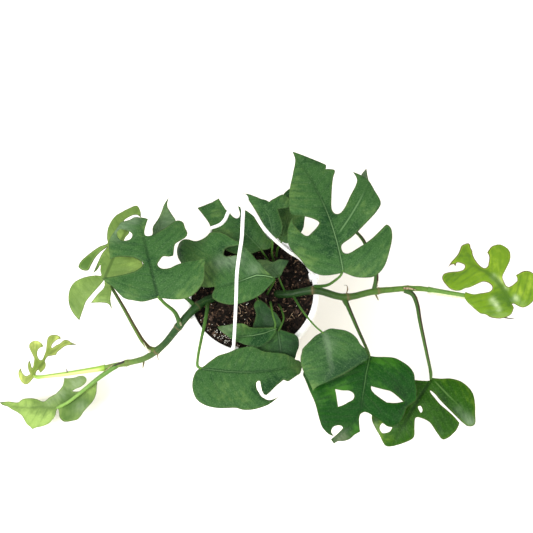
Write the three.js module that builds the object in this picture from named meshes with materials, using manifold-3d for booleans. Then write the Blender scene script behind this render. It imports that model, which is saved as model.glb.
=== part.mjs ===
// A potted mini monstera in a white hanging pot: pot, soil, hanger, two trailing vines and their leaves.
// Millimetres, +Z up, origin at the middle of the pot's base, +Y away from the viewer.
import * as THREE from "three";
import { mergeVertices } from "three/addons/utils/BufferGeometryUtils.js";
import Module from "manifold-3d";

const wasm = await Module();
wasm.setup();

// Pot and soil
const POT_HEIGHT = 118;
const BASE_RADIUS = 52.5;
const RIM_OUTER = 76;
const RIM_INNER = 70;
const RIM_DEPTH = 11;
const WALL = 2.2;
const FLOOR = 3;
const DRAIN_HOLES = 5;
const DRAIN_RADIUS = 4;
const DRAIN_RING = 28;
const SOIL_TOP = 112;
const GAP = 0.3;

// Hanger
const HUB_PLACE = [5, 3, 345];
const HUB_RADIUS = 6;
const HOOK_WIRE = 2;
const HOOK_RADIUS = 13;
const STRAND_RADIUS = 1.8;
const CLIP_ANGLES = { front: -112, right: 8, left: 121 };

// Leaves
const BLADE = 0.8;
const EDGE_STEP = 8;
const FACE_STEP = 12;
const STALK_SIDES = 6;

// Colours
const WHITE = "#f3f3f0";
const SOIL = "#3a2a20";
const GREEN = "#4f8a3c";
const YOUNG = "#9ab84a";
const STALK = "#6d9440";

// Each leaf: where its stalk meets the blade, the way it points and bends, and its edge in (along, across)
// millimetres from that point. A third 1 marks a sharp corner. across is to the left of the way it points.
// A foot is the place on the blade, along and across, of a stalk that runs on over it.
const LEAVES = [
  {
    name: "top_large", base: [100, -21, 195], heading: 91, pitch: 14, droop: 20, sweep: 26, length: 152,
    wave: 1.2, from: "vine_right", stalk: [[71, -7, 128], [85, -13, 150], [91, -15, 168], [98, -20, 186]],
    edge: [[0, 0, 1], [-6, -11], [-8, -20], [-8, -32], [-1, -43], [13, -52], [27, -59], [35, -60], [39, -57],
      [36, -50], [29, -37], [22, -19], [19, -8], [21, -4], [25, -3], [29, -4], [35, -17], [44, -33],
      [55, -53], [60, -58], [74, -57], [86, -56], [94, -51], [100, -45, 1], [91, -45], [77, -30], [66, -18],
      [63, -12], [64, -8], [69, -6], [85, -12], [102, -22], [109, -28], [113, -24], [115, -20, 1],
      [119, -23], [123, -21], [138, -11], [153, -1, 1], [143, 2], [129, 13], [110, 27], [89, 36], [82, 36],
      [74, 25], [64, 14], [60, 12], [52, 22], [49, 29], [55, 34], [68, 38], [77, 37, 1], [69, 44],
      [53, 50], [40, 50], [25, 43], [8, 35], [0, 23], [-1, 8]],
    holes: [],
  },
  {
    name: "top_small", base: [118, 49, 168], heading: 66, pitch: 11, droop: 15, fold: 12, length: 69,
    from: "vine_right",
    stalk: [[138, -17, 122], [141, -4, 135], [136, 14, 150], [130, 29, 160], [121, 43, 164]],
    edge: [[0, 0, 1], [-2, -5], [2, -11], [12, -16], [25, -20], [38, -17], [48, -10], [57, -5], [69, 0, 1],
      [59, 3], [50, 3], [38, 6], [25, 8], [12, 8], [3, 6]],
    holes: [],
  },
  {
    name: "left_large", base: [-101, -14, 170], heading: 98, pitch: 16, droop: 25, length: 97,
    wave: 1, from: "vine_left", stalk: [[-84, -31, 122], [-86, -20, 145], [-99, -15, 163]],
    edge: [[0, 0, 1], [-6, -16], [-8, -26], [-7, -36], [-3, -44], [6, -53], [22, -58], [30, -61, 1],
      [31, -43], [31, -30], [29, -19], [31, -11], [36, -8], [41, -12], [44, -16], [42, -22], [42, -27, 1],
      [50, -30], [54, -32], [59, -45], [63, -48], [70, -47], [79, -46], [83, -41], [82, -36], [76, -23],
      [72, -11], [72, -5], [74, -2], [78, -2], [90, -7], [94, -9, 1], [97, -5], [101, 5], [99, 11],
      [98, 21], [94, 25], [83, 36], [77, 39], [69, 40], [56, 41, 1], [57, 35], [55, 26], [50, 14], [41, 7],
      [36, 15], [35, 29], [36, 44], [37, 54, 1], [30, 50], [26, 46], [15, 40], [8, 35], [4, 27], [0, 17]],
    holes: [[[90, 24], [88, 19], [81, 12], [77, 12], [74, 15], [74, 21], [76, 25], [82, 28], [87, 28]]],
  },
  {
    name: "left_back", base: [-106, 53, 150], heading: 69, pitch: 9, droop: 15, length: 65,
    from: "vine_left",
    stalk: [[-65, -11, 122], [-74, -3, 132], [-90, 7, 140], [-104, 26, 145], [-107, 46, 147]],
    edge: [[0, 0, 1], [-1, -6], [6, -14], [20, -18], [32, -18], [41, -16], [46, -11], [51, -6], [57, -1],
      [68.5, 0.5, 1], [56, 3], [48, 3], [38, 4], [26, 7], [18, 5], [10, 8], [3, 6]],
    holes: [],
  },
  {
    name: "left_outer", base: [-162, 24, 150], heading: 61, pitch: 14, droop: 20, length: 93,
    young: true, from: "vine_left",
    stalk: [[-116, -46, 90], [-124, -43.6, 92.5], [-130.1, -36.9, 99], [-135.9, -25.8, 110],
      [-146.9, -1.3, 130], [-156.4, 18, 145]],
    edge: [[0, 0, 1], [-8, -3], [-18, 1], [-30, 5, 1], [-25, -8], [-24, -15], [-28, -21, 1], [-18, -15],
      [-10, -13], [0, -9], [12, -20], [20, -32], [27, -36], [33, -33], [36, -20], [40, -8], [52, -2],
      [60, -4], [66, 1], [71, 8], [78, 5], [84, -1], [83, -8, 1], [90, -4], [95, 3], [87, 11], [80, 16],
      [73, 20], [57, 21], [45, 17], [40, 14], [33, 21], [20, 29], [9, 34], [3, 34], [1, 29], [3, 22],
      [10, 21], [19, 20], [28, 17], [36, 12, 1], [28, 14.5], [15, 15], [2, 15, 1], [8, 12], [14, 11],
      [7, 8], [3, 5], [1, 11], [-3, 19], [-8, 26], [-15, 32], [-23, 34], [-33, 32], [-42, 27], [-49, 19],
      [-53, 11, 1], [-40, 11], [-31, 11], [-22, 8], [-12, 4], [-4, 1]],
    holes: [],
  },
  {
    name: "left_tip_curled", base: [-271, -45, 48], heading: 25, pitch: 35, droop: 30, length: 65,
    young: true, from: "vine_left",
    stalk: [[-184, -46, 50], [-215, -46, 47], [-245, -46, 45], [-268, -45, 45]],
    edge: [[1, -1.5, 1], [8, 2], [11, 1.5], [11.5, -3, 1], [15.5, -3], [20.5, -2], [23.5, 1.5], [24, 5],
      [26.5, 6], [30.5, 7], [34.5, 5], [40.5, 2, 1], [43.5, 4], [47.5, 4.5], [52.5, 4.7], [56.5, 4.4],
      [62, 1.7], [68, -1.5, 1], [64, 4], [62, 8.6], [58.7, 11.5], [51, 11], [46, 12], [41, 12], [40, 13.3],
      [41.5, 15], [45, 16.5], [50, 17], [55.5, 15.5, 1], [55.5, 18.5], [53, 22.5], [49, 25.5],
      [45, 26.7], [42, 26], [39, 23], [36, 19], [33, 15], [28.5, 11.5], [22.5, 8.3], [19.7, 9.4],
      [18.6, 13.4], [20, 18.5], [23.5, 21.7], [27.5, 22], [32, 20.5, 1], [32, 23.5], [30.5, 28.5],
      [27.5, 32.5], [22.5, 35], [17.5, 34.8], [15, 32], [14.3, 26.5], [14, 19.6], [13, 15.2], [10.3, 13],
      [6.5, 9], [4, 9], [5, 13], [6, 19, 1], [2, 17], [-1, 12.6], [-2, 7.5], [-2, 5, 1], [-9, 7],
      [-12, 10.5], [-13, 15.5], [-12, 20.5, 1], [-16, 20], [-19.5, 17.5], [-21.5, 12], [-21, 6],
      [-17, 0], [-11.5, -2], [-5.5, -2]],
    holes: [],
  },
  {
    name: "left_tip_lower", base: [-196, -60, 42], heading: 215, pitch: -9, droop: 10, sweep: -70,
    length: 127, young: true, from: "vine_left", foot: [56, 4.2],
    stalk: [[-170, -47, 56], [-178, -51, 54.5], [-186, -54.5, 51.5], [-196, -58.8, 47.5],
      [-206.7, -65, 44.5], [-219.6, -72.4, 41.6], [-232.6, -78.9, 37.6]],
    edge: [[0, 0, 1], [3, -4], [10.5, -3.5], [18, -3], [25, -5], [31, -8], [32.5, -9.3, 1], [26.5, -9.5],
      [21, -8.5], [16, -8.5], [10, -10], [8, -12.6], [9, -17.5], [15, -21], [20, -22], [29.5, -25],
      [37.5, -28, 1], [40, -23.5], [43, -20], [48.5, -16.5], [52, -14.5], [56, -12.5], [60.5, -11.5],
      [66, -9.5], [71.5, -6.2], [76, -6.4], [81, -8.6], [87, -9.6], [94.5, -9.3], [103, -6.6], [107, -2],
      [120, 1.3], [126.5, 4.8], [130.5, 7.5, 1], [126, 8.5], [119, 7.5], [111.5, 8.8], [104.5, 10],
      [98.5, 12.6], [94.5, 17], [91, 21.4], [87, 24.2], [84.5, 26.7, 1], [81, 24.7], [75, 23.3],
      [68, 20.8], [64, 17.4], [60.5, 13.7], [58.5, 9.5], [57, 5.5], [55.3, 5.7], [54.8, 11.3],
      [55.2, 15.4], [53.4, 19.7], [50.7, 22.7], [46, 24], [42.5, 24.7], [38, 25.4], [34, 23.6],
      [29, 20], [23, 17.4], [17.3, 15.5], [12.5, 12.9], [7.4, 8.3], [3.9, 3.9], [0.8, 0.8]],
    holes: [],
  },
  {
    name: "front_round", base: [72, -71, 158], heading: -88, pitch: 0, droop: 25, sweep: -25, length: 61,
    from: "vine_right", stalk: [[46, -11, 119], [53, -37, 139], [64, -61, 151]],
    edge: [[0, 0, 1], [1.5, -4], [4, -9.5], [9, -15], [14, -20], [19, -24], [24, -25], [30, -26], [39, -25],
      [46, -22], [52, -18], [57, -14], [62, -10], [67, -6, 1], [64, -5], [60, -2], [56, 3], [52, 9],
      [48, 14.5], [44, 21], [40, 27], [36, 33], [32, 39], [29, 45], [26, 47], [24, 45], [20, 43],
      [16, 38], [11, 35], [6, 30], [2, 23], [0, 16], [-2, 8]],
    holes: [],
  },
  {
    name: "front_holed", base: [119, -99, 140], heading: -105, pitch: -4, droop: 25, sweep: -20, length: 87,
    size: 1.025, wave: 1, from: "vine_right", stalk: [[103, -26, 125], [111, -64, 133], [118, -94, 137]],
    edge: [[0, 0, 1], [1, -12], [3, -25], [6.5, -38], [11, -49], [19, -58], [28, -64], [39, -65], [44, -62],
      [50, -58], [56, -54], [61, -50], [67, -45], [73, -40.5], [80, -36], [88, -30], [92.5, -25.5],
      [95, -20], [96, -15], [95, -10, 1], [93, -14], [90, -15.5], [86, -15], [82.5, -12], [81, -8],
      [82, -6], [87.5, -7], [94, -9], [100, -11, 1], [102.5, -6, 1], [98, -4], [95, 1], [89.5, 6],
      [84, 8], [78, 12, 1], [73, 9], [67, 6], [62, 5], [58, 8], [57.5, 13], [58, 16], [59, 22],
      [60.5, 28.5], [62, 34], [61, 39.5], [58, 44], [53, 47], [47, 48], [42, 48], [37, 52], [33, 56, 1],
      [28, 55], [22, 53], [16, 50], [11, 48], [6, 43], [2, 35], [-1, 26], [-1, 17], [0, 7]],
    holes: [
      [[31, 7, 1], [31, 13], [31, 20], [31, 28], [33.5, 35], [37, 43, 1], [40, 36], [42, 27, 1], [40, 20],
        [37, 12], [34, 8]],
      [[45, -28.2, 1], [44, -21], [42, -13], [44, -8], [49, -7], [54, -11], [59, -15], [63, -19.2, 1],
        [57, -22.2], [51, -25.2]],
    ],
  },
  {
    name: "right_front", base: [184, -126, 120], heading: -130, pitch: -4, droop: 25, length: 86,
    size: 1.03, from: "vine_right",
    stalk: [[172, -20, 117], [180, -25.8, 116], [182.8, -37.2, 116.5], [182.6, -59.7, 117.5],
      [183.4, -97.4, 118], [184, -119, 117]],
    edge: [[0, 0, 1], [4, -1], [8, -7], [12, -15], [18, -24], [27, -27], [33, -22], [35, -12], [40, -9],
      [46, -11], [50, -20], [53, -31], [60, -35], [71, -32], [78, -23], [82, -16], [88, -6], [87, -2],
      [78, 7], [66, 15], [62, 15], [53, 10], [45, 7], [42, 15], [42, 22], [47, 33], [50, 42], [45, 46],
      [39, 48], [32, 49], [26, 48, 1], [23, 39], [21.2, 30], [19.7, 21], [17.2, 14], [15, 8], [12.5, 5],
      [12, 10], [14.6, 18], [17.8, 29], [20.4, 39], [23, 49], [24, 56, 1], [23, 60], [19, 62], [8, 56],
      [1, 52], [-9, 43], [-13, 29], [-10, 17], [-4, 8]],
    holes: [
      [[69, -20], [69, -14], [67, -9, 1], [72, -9], [76, -12], [78, -15], [75, -20]],
      [[34, 3], [32, 5], [35, 9], [38, 9]],
    ],
  },
  {
    name: "right_tip", base: [282, -60, 140], heading: 124, pitch: 6, droop: 15, sweep: 26, length: 80,
    young: true, from: "vine_right",
    stalk: [[198, -22.6, 117], [211, -27, 118], [237, -37, 122], [262, -48, 128], [278, -57, 135]],
    edge: [[0, 0, 1], [-1, -2], [-4, -3], [-7.5, -4.5], [-10.5, -7], [-12, -13], [-11.5, -20.5],
      [-9.5, -27.5], [-6.5, -35], [-1.5, -41.5], [3.5, -43.5], [10, -43], [13.5, -40.5], [16, -36],
      [17, -31.5], [18, -28, 1], [15.5, -26.5], [13.5, -24], [13.5, -20.5], [14, -15.5], [15.5, -11.5],
      [18, -11], [22, -13], [26.5, -16.5], [28, -21], [29, -27], [30, -33], [31, -38], [33, -43],
      [35.5, -47], [39, -49.5], [43, -50], [46.5, -49.5], [49.5, -46.5], [52, -42], [52.5, -37],
      [52.5, -33, 1], [49.5, -30.5], [47.5, -26.5], [46, -22], [45, -18], [46.5, -14.5], [50, -14],
      [55.5, -16], [61, -20], [64, -23.5], [66, -27.5], [68.5, -30], [70.5, -34], [72.5, -35],
      [75, -33], [77.5, -30], [77.5, -24], [77.5, -18], [78.5, -13.5], [79.5, -10], [81, -5.5],
      [82, 1.5, 1], [80, -2.5], [77.5, -4], [75, -2.5, 1], [75, -7], [69, -8], [66.5, -7.5], [65, -5],
      [65.5, -1], [69, 2.5], [74, 5], [80, 8], [84, 11.5], [84.5, 16], [81.5, 20], [75, 24],
      [68.5, 26.5], [62, 26], [57, 23.5], [53, 18.5], [48.5, 14.5], [45, 9], [42, 4], [40, 1],
      [36.5, -1], [33, -1.5], [30, -1], [27.5, 1], [27, 5.5], [30, 10], [34.5, 14.5], [40, 19.5],
      [45.5, 21.5], [50.5, 22.5, 1], [49.5, 26.5], [46, 29.5], [40.5, 31.5], [34, 32.5], [27, 33],
      [18, 33], [12, 30], [6, 29], [1, 26], [-3.5, 22], [-6.5, 17], [-8, 12.5], [-8, 8], [-6, 4],
      [-4, 1]],
    holes: [],
  },
  {
    name: "front_left", base: [-65, -91, 145], heading: -13, pitch: 2, droop: 30, sweep: 24, length: 118,
    wave: 1, from: "vine_left", stalk: [[-51, -3, 115], [-53, -27, 134], [-66, -80, 145], [-67, -88, 143]],
    edge: [[0, 0, 1], [-3, -3], [-5, -9], [-5.5, -15.5], [-4.5, -22.5], [-2, -29], [1, -34], [5, -37.5],
      [11, -40.5], [17, -42], [24, -42.5], [30, -42], [35, -41.5], [39.5, -41.5], [45, -43.5],
      [50.5, -44], [57, -43.5], [63, -42], [70, -39.5], [75, -36.5], [80, -33], [83, -31, 1], [76, -33.8],
      [70.5, -34.5], [67, -32.5], [64, -30], [62, -25.5], [60.5, -22], [60, -17.5], [60.5, -14.5],
      [63, -12.5], [64.5, -13, 1], [65, -19.5], [65.7, -25], [67, -28, 1], [69, -29], [72, -27],
      [77, -23], [82, -19], [87, -16], [90, -14, 1], [92, -15], [94.5, -16.3], [99.5, -14.5],
      [105, -12], [110, -10], [115, -2, 1], [113, 4], [109, 5.5], [107, 8.5], [103, 11], [99.5, 13.3],
      [92, 15.7], [83.5, 17.5], [75.5, 19], [69.5, 20.7], [65, 23.7], [61, 25.7], [56, 26],
      [48.5, 25.3], [42.5, 24.3], [37.5, 22.5], [31.5, 20], [26, 18], [19.3, 15.5], [14, 11.5],
      [8.6, 7], [4.5, 3]],
    holes: [],
  },
  {
    name: "pot_front_left", base: [23, -53, 135], heading: 166, pitch: 1, droop: 25, fold: 11, length: 68,
    size: 1.005, from: "soil",
    stalk: [[19, -15, 94], [19, -15, 110], [19.3, -16.5, 122], [19.7, -22, 131], [20, -29, 136],
      [20.5, -38, 137], [22, -48, 135.5]],
    edge: [[0, 0, 1], [3, -1], [10, 0], [20, 1], [25.3, 1.5], [30.3, 1], [34, -1], [39.5, -2.5],
      [43.3, -2.5], [50, -2], [57, -0.7], [66, 0], [70.5, 0.5, 1], [65.5, 5.3], [58.5, 10], [51, 15],
      [45, 18.5], [40.7, 20], [37, 21], [31.5, 23], [26.5, 24], [20, 25.5], [12, 23], [5, 15], [1, 6]],
    holes: [],
  },
  {
    name: "pot_front_right", base: [24, -53, 131], heading: -89, pitch: -8, droop: 35, length: 48,
    size: 1.008, from: "soil",
    stalk: [[28, -16, 94], [28, -16, 110], [31, -27, 120], [31.8, -40, 126.5], [28, -49, 130]],
    edge: [[0, 0, 1], [2, -5], [3, -9.5], [5.5, -14], [9, -19], [12.5, -23], [15, -26], [21, -27],
      [29, -22], [35, -13], [38, -3], [38, 7], [36, 13], [33.5, 14.7], [28, 17], [22.5, 20], [17, 21],
      [12, 20.5], [8.3, 18], [6, 13.5], [3.5, 9], [1.4, 4.3]],
    holes: [],
  },
  {
    name: "pot_small", base: [6.1, -13.7, 129], heading: -84, pitch: -7, droop: 20, fold: 15, length: 40,
    from: "soil", stalk: [[2, 1, 94], [2, 1, 112], [5, -8.5, 123]],
    edge: [[0, 0, 1], [1.7, -2.5], [4, -5], [7.5, -6.5], [11.7, -6], [16.5, -6], [20, -7.5], [24.7, -10],
      [28.5, -12.5], [33, -12], [38, -6], [41, 4], [41, 12], [38, 18], [36, 18.7], [32, 19.5],
      [27.3, 18.8], [24, 17.5], [20.8, 16.5], [17, 13.2], [13.8, 11], [11, 9.2], [7.2, 7.5],
      [4.3, 4.8], [1.3, 2]],
    holes: [],
  },
  {
    name: "pot_middle", base: [28, -3, 160], heading: 180, pitch: 7, droop: 30, length: 71,
    wave: 1, from: "soil", stalk: [[17, -3, 94], [17, -3, 112], [20, -5, 130], [27, -3, 154]],
    edge: [[0, 0, 1], [2.5, -2], [9.5, -10], [14, -18.5], [18, -23], [23, -32], [27.5, -39], [30.5, -43],
      [35, -49], [38.5, -51.5], [44, -56], [50.5, -62], [58.5, -66], [63.5, -67.5], [68.5, -67.5],
      [71.5, -65.5], [76, -64], [84, -63.5], [90.5, -65], [99, -70], [106, -72], [112, -70.5],
      [116.5, -66], [118, -60], [116.5, -53.5], [113, -46.5], [106, -35.5], [101, -26], [96, -16],
      [89.5, -9], [81.5, -4.5], [73, -2.5], [70, -2, 1], [70, 1], [73, 4.5], [73.5, 10], [69, 15.5],
      [62, 20], [54, 23.5], [45.5, 24.7], [37.5, 24], [30, 22.5], [23.5, 20.5], [16.5, 17], [10, 11.5],
      [4.5, 6.5], [0.3, 1.5]],
    holes: [[[36, -44.5], [34, -38.5], [36.5, -33.5], [42.5, -33.5], [47.5, -33.7], [52, -34.5],
      [54.5, -37], [54, -40], [52, -43.5], [48, -45], [42.5, -45]]],
  },
  {
    name: "pot_back", base: [30, 41, 165], heading: 112, pitch: 14, droop: 15, fold: 10, length: 62,
    from: "soil", stalk: [[29, 37, 94], [29, 37, 112], [28, 36, 140], [30, 39, 160]],
    edge: [[0, 0, 1], [-2, -8.5], [3, -15], [8, -17.8], [17, -20], [26, -21.3, 1], [24.8, -26], [22, -33],
      [25, -37.5], [32, -38.5], [35.7, -36.4], [38.7, -34.7], [39.5, -31], [39.4, -25.7], [39.6, -21],
      [39, -17.4, 1], [43.5, -14.8], [47, -11.5], [51.5, -8.6], [55, -6], [60, -2.4], [63.5, 1.2, 1],
      [50, 0.8], [40.5, 0.5], [35, 0.5], [28.5, 0.5], [20, 1], [9.5, 1.5], [3.8, 1.5]],
    holes: [],
  },
  {
    name: "pot_back_left", base: [17, 43, 134], heading: 128, pitch: 16, droop: 20, fold: 6, length: 79,
    size: 1.016, from: "soil", stalk: [[23, 38, 94], [23, 38, 112], [18.5, 41, 129]],
    edge: [[0, 0, 1], [-4.6, -7.4], [-4.8, -11.2], [0, -15], [8.6, -15.7], [19.5, -17.4], [29, -19.5],
      [34, -20.7], [40.3, -20.3], [46.6, -19], [49.7, -16], [53.5, -17.8], [59, -18.8, 1], [52.7, -14.8],
      [47.8, -12], [45.5, -8.3], [46.7, -5], [53, -3.8], [57.2, -4.5], [62, -4], [71, -6],
      [79.4, -8.5, 1], [83.3, 3.4], [88, 16.7, 1], [75, 18.8], [64.4, 21], [57, 24, 1], [50.5, 27.7],
      [41.4, 30], [30, 31.5], [26, 30], [20, 27.6], [13.4, 24], [7.7, 16.3], [4.4, 10.5], [2.5, 5.4]],
    holes: [],
  },
  {
    name: "pot_back_right", base: [40, 44, 150], heading: 68, pitch: 13, droop: 15, length: 69,
    from: "soil", stalk: [[33, 43, 94], [33, 43, 112], [35, 44, 130], [39, 43, 145]],
    edge: [[0, 0, 1], [-1, -6], [3, -12], [9, -17], [16, -19.3], [22, -20.3], [28, -19.5], [38, -18],
      [50, -13], [60, -5], [66, 2], [63, 8, 1], [57, 11.5], [46, 13], [34, 14], [22, 12], [12, 9],
      [5, 6], [1, 3]],
    holes: [],
  },
  {
    name: "pot_centre", base: [33, 6, 140], heading: 123, pitch: 1, droop: 10, fold: 10, length: 30,
    from: "vine_right", stalk: [[38, -7, 117], [35.5, -2, 126], [33, 3, 135]],
    edge: [[0, 0, 1], [0, -2.5], [2.5, -7.9], [4.2, -12.7], [5.5, -16.6], [7.1, -19.7, 1], [12, -15.9],
      [15.6, -13], [17, -9.3], [18.7, -5.6], [21.3, -3.8], [25.6, -2.4], [28.3, 0.3], [32, 5], [33, 10],
      [27, 14], [18, 15], [9, 12], [3, 7], [0.5, 2]],
    holes: [],
  },
];

// The two trailing stems: the path from below the soil, the radius at each end, joints as the share of the
// length at which they sit, and short aerial roots.
const VINES = [
  {
    name: "vine_right", radii: [5, 2.8], joints: [0.31, 0.51, 0.69, 0.865],
    path: [[27, 3, 94], [29, -4, 111.5], [45, -9, 120], [71, -11, 127], [103, -23, 126], [138, -19, 122],
      [183, -19, 116], [201, -23.5, 117.2]],
    roots: [[[100, -24, 124], [103, -31, 121], [108, -34, 114]], [[138, -20, 120], [141, -27, 114]]],
  },
  {
    name: "vine_left", radii: [5, 3], joints: [0.21, 0.37, 0.59, 0.84],
    path: [[-41, 3, 94], [-47, 0, 113], [-60, -8.5, 121], [-72, -19, 125], [-86, -31, 120], [-105, -42, 100],
      [-119, -47, 88], [-134, -49, 75], [-159, -47, 60], [-186, -46, 50]],
    roots: [[[-134, -50, 74], [-137, -58, 68]]],
  },
];

// The three strands from the hub to their clips on the rim.
const STRANDS = {
  front: [[4, 0.4, 342], [4.3, 2.6, 322], [2.6, 1.2, 305], [-1, -4.7, 276], [-6, -11.3, 251],
    [-11, -21, 228], [-16, -36, 194], [-22.7, -56.1, 154], [-26.2, -64.9, 132], [-27.2, -67.2, 119.6]],
  right: [[8, 3.4, 342], [11.5, 4.6, 322], [15.9, 4.8, 303], [21.5, 4.2, 277], [30.4, 5.3, 245],
    [39.5, 6.2, 219], [47.6, 7.2, 198], [56, 10.2, 176], [64.6, 12.2, 148], [71.3, 10, 119.6]],
  left: [[2.2, 5.5, 342], [-4.5, 9.5, 322], [-10.4, 14, 300], [-15.5, 23.5, 266], [-22, 36, 230],
    [-30, 51, 194], [-35.5, 62.5, 168], [-38, 69, 151], [-39, 67.5, 138], [-37.3, 62.1, 119.6]],
};

const rad = THREE.MathUtils.degToRad;

const toSolid = (geometry) => {
  const plain = geometry.clone().deleteAttribute("normal").deleteAttribute("uv");
  const merged = mergeVertices(plain, 1e-3);
  return new wasm.Manifold(new wasm.Mesh({
    numProp: 3,
    vertProperties: new Float32Array(merged.attributes.position.array),
    triVerts: new Uint32Array(merged.index.array),
  }));
};

const toGeometry = (solid) => {
  const made = solid.getMesh();
  const geometry = new THREE.BufferGeometry();
  geometry.setAttribute("position", new THREE.BufferAttribute(new Float32Array(made.vertProperties), 3));
  geometry.setIndex(new THREE.BufferAttribute(new Uint32Array(made.triVerts), 1));
  return geometry;
};

const largest = (solid) => solid.decompose().reduce((a, b) => (a.volume() >= b.volume() ? a : b));

const turned = (profile, segments) => {
  const points = profile.map(([r, z]) => new THREE.Vector2(r, z));
  return new THREE.LatheGeometry(points, segments).rotateX(Math.PI / 2);
};

const lathe = (profile, segments) => toSolid(turned(profile, segments));

// A tube with closed ends along a smooth path. radiusAt gives the radius at a share of its length.
const tube = (path, radiusAt, steps, sides) => {
  const curve = new THREE.CatmullRomCurve3(path.map((p) => new THREE.Vector3(...p)), false, "centripetal");
  const frames = curve.computeFrenetFrames(steps, false);
  const positions = [];
  const index = [];
  for (let i = 0; i <= steps; i++) {
    const centre = curve.getPointAt(i / steps);
    for (let j = 0; j < sides; j++) {
      const angle = (2 * Math.PI * j) / sides;
      const radius = radiusAt(i / steps);
      const point = centre.clone()
        .addScaledVector(frames.normals[i], Math.cos(angle) * radius)
        .addScaledVector(frames.binormals[i], Math.sin(angle) * radius);
      positions.push(...point.toArray());
      const a = i * sides + j;
      const b = i * sides + ((j + 1) % sides);
      if (i < steps) index.push(a, b, b + sides, a, b + sides, a + sides);
      if (i === 0 && j > 1) index.push(0, j, j - 1);
      if (i === steps && j > 1) index.push(i * sides, a - 1, a);
    }
  }
  const geometry = new THREE.BufferGeometry();
  geometry.setAttribute("position", new THREE.Float32BufferAttribute(positions, 3));
  geometry.setIndex(index);
  return toSolid(geometry);
};

// A closed curve through the points of an edge, with sharp corners kept.
const smoothRing = (points) => points.flatMap((here, i) => {
  const at = (k) => points[(i + k + points.length) % points.length];
  const next = at(1);
  const mirrored = (a, b) => [2 * a[0] - b[0], 2 * a[1] - b[1]];
  const start = here[2] ? mirrored(here, next) : at(-1);
  const end = next[2] ? mirrored(next, here) : at(2);
  const knots = [start, here, next, end].map(([u, v]) => new THREE.Vector3(u, v, 0));
  const curve = new THREE.CatmullRomCurve3(knots, false, "centripetal");
  const steps = Math.max(1, Math.round(Math.hypot(next[0] - here[0], next[1] - here[1]) / EDGE_STEP));
  return Array.from({ length: steps }, (_, k) => {
    const point = curve.getPoint((1 + k / steps) / 3);
    return new THREE.Vector2(point.x, point.y);
  });
});

// The ring moved outwards by a distance.
const grownRing = (ring, distance) => ring.map((here, i) => {
  const last = ring[(i + ring.length - 1) % ring.length];
  const along = ring[(i + 1) % ring.length].clone().sub(last).normalize();
  return new THREE.Vector2(here.x + along.y * distance, here.y - along.x * distance);
});

const turn = (a, b, c) => (b.x - a.x) * (c.y - a.y) - (b.y - a.y) * (c.x - a.x);

const inCircle = (a, b, c, d) => {
  const row = (p) => [p.x - d.x, p.y - d.y, (p.x - d.x) ** 2 + (p.y - d.y) ** 2];
  return new THREE.Matrix3().set(...row(a), ...row(b), ...row(c)).determinant() > 1e-6;
};

// Swaps the shared edge of neighbouring triangles until each pair is the better shaped of its two ways.
const improve = (points, triangles) => {
  const owners = new Map();
  const key = (a, b) => a * 65536 + b;
  const own = (t) => triangles[t].forEach((a, k) => owners.set(key(a, triangles[t][(k + 1) % 3]), t));
  triangles.forEach((_, t) => own(t));
  const waiting = triangles.flatMap((t) => t.map((a, k) => [a, t[(k + 1) % 3]]));
  for (let guard = 0; waiting.length && guard < 40000; guard++) {
    const [a, b] = waiting.pop();
    const one = owners.get(key(a, b));
    const other = owners.get(key(b, a));
    if (one === undefined || other === undefined) continue;
    const c = triangles[one].find((v) => v !== a && v !== b);
    const d = triangles[other].find((v) => v !== a && v !== b);
    const clear = turn(points[c], points[a], points[d]) > 1e-6
      && turn(points[d], points[b], points[c]) > 1e-6;
    if (!clear || !inCircle(points[a], points[b], points[c], points[d])) continue;
    owners.delete(key(a, b));
    owners.delete(key(b, a));
    triangles[one] = [c, a, d];
    triangles[other] = [d, b, c];
    own(one);
    own(other);
    waiting.push([a, d], [d, b], [b, c], [c, a]);
  }
};

// The flat pattern of a blade: its points, the triangles between them, and its closed edges.
const pattern = (leaf, growth) => {
  const edge = smoothRing(leaf.edge);
  if (THREE.ShapeUtils.isClockWise(edge)) edge.reverse();
  const holes = leaf.holes.map((hole) => {
    const ring = smoothRing(hole);
    return THREE.ShapeUtils.isClockWise(ring) ? ring : ring.reverse();
  });
  const rings = [edge, ...holes].map((ring) => (growth ? grownRing(ring, growth) : ring));
  const points = rings.flat();
  const border = points.length;
  const triangles = THREE.ShapeUtils.triangulateShape(rings[0], rings.slice(1))
    .map(([a, b, c]) => (turn(points[a], points[b], points[c]) > 0 ? [a, b, c] : [a, c, b]));
  improve(points, triangles);
  const insert = (point, clearance) => {
    if (points.some((p, i) => p.distanceTo(point) < (i < border ? clearance : FACE_STEP * 0.6))) return;
    const found = triangles.findIndex(([a, b, c]) =>
      turn(points[a], points[b], point) > 0.5 && turn(points[b], points[c], point) > 0.5
        && turn(points[c], points[a], point) > 0.5);
    if (found < 0) return;
    const [a, b, c] = triangles[found];
    const made = points.push(point) - 1;
    triangles[found] = [a, b, made];
    triangles.push([b, c, made], [c, a, made]);
  };
  const box = new THREE.Box2().setFromPoints(rings[0]);
  for (let u = 7; u < box.max.x; u += 9) insert(new THREE.Vector2(u, 0), 3.5);
  for (let v = box.min.y + 6; v < box.max.y; v += FACE_STEP) {
    const shift = Math.round((v - box.min.y) / FACE_STEP) % 2 ? FACE_STEP / 2 : 0;
    for (let u = box.min.x + 5 + shift; u < box.max.x; u += FACE_STEP) {
      insert(new THREE.Vector2(u, v), 4.5);
      improve(points, triangles);
    }
  }
  improve(points, triangles);
  return { points, triangles, rings };
};

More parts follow.
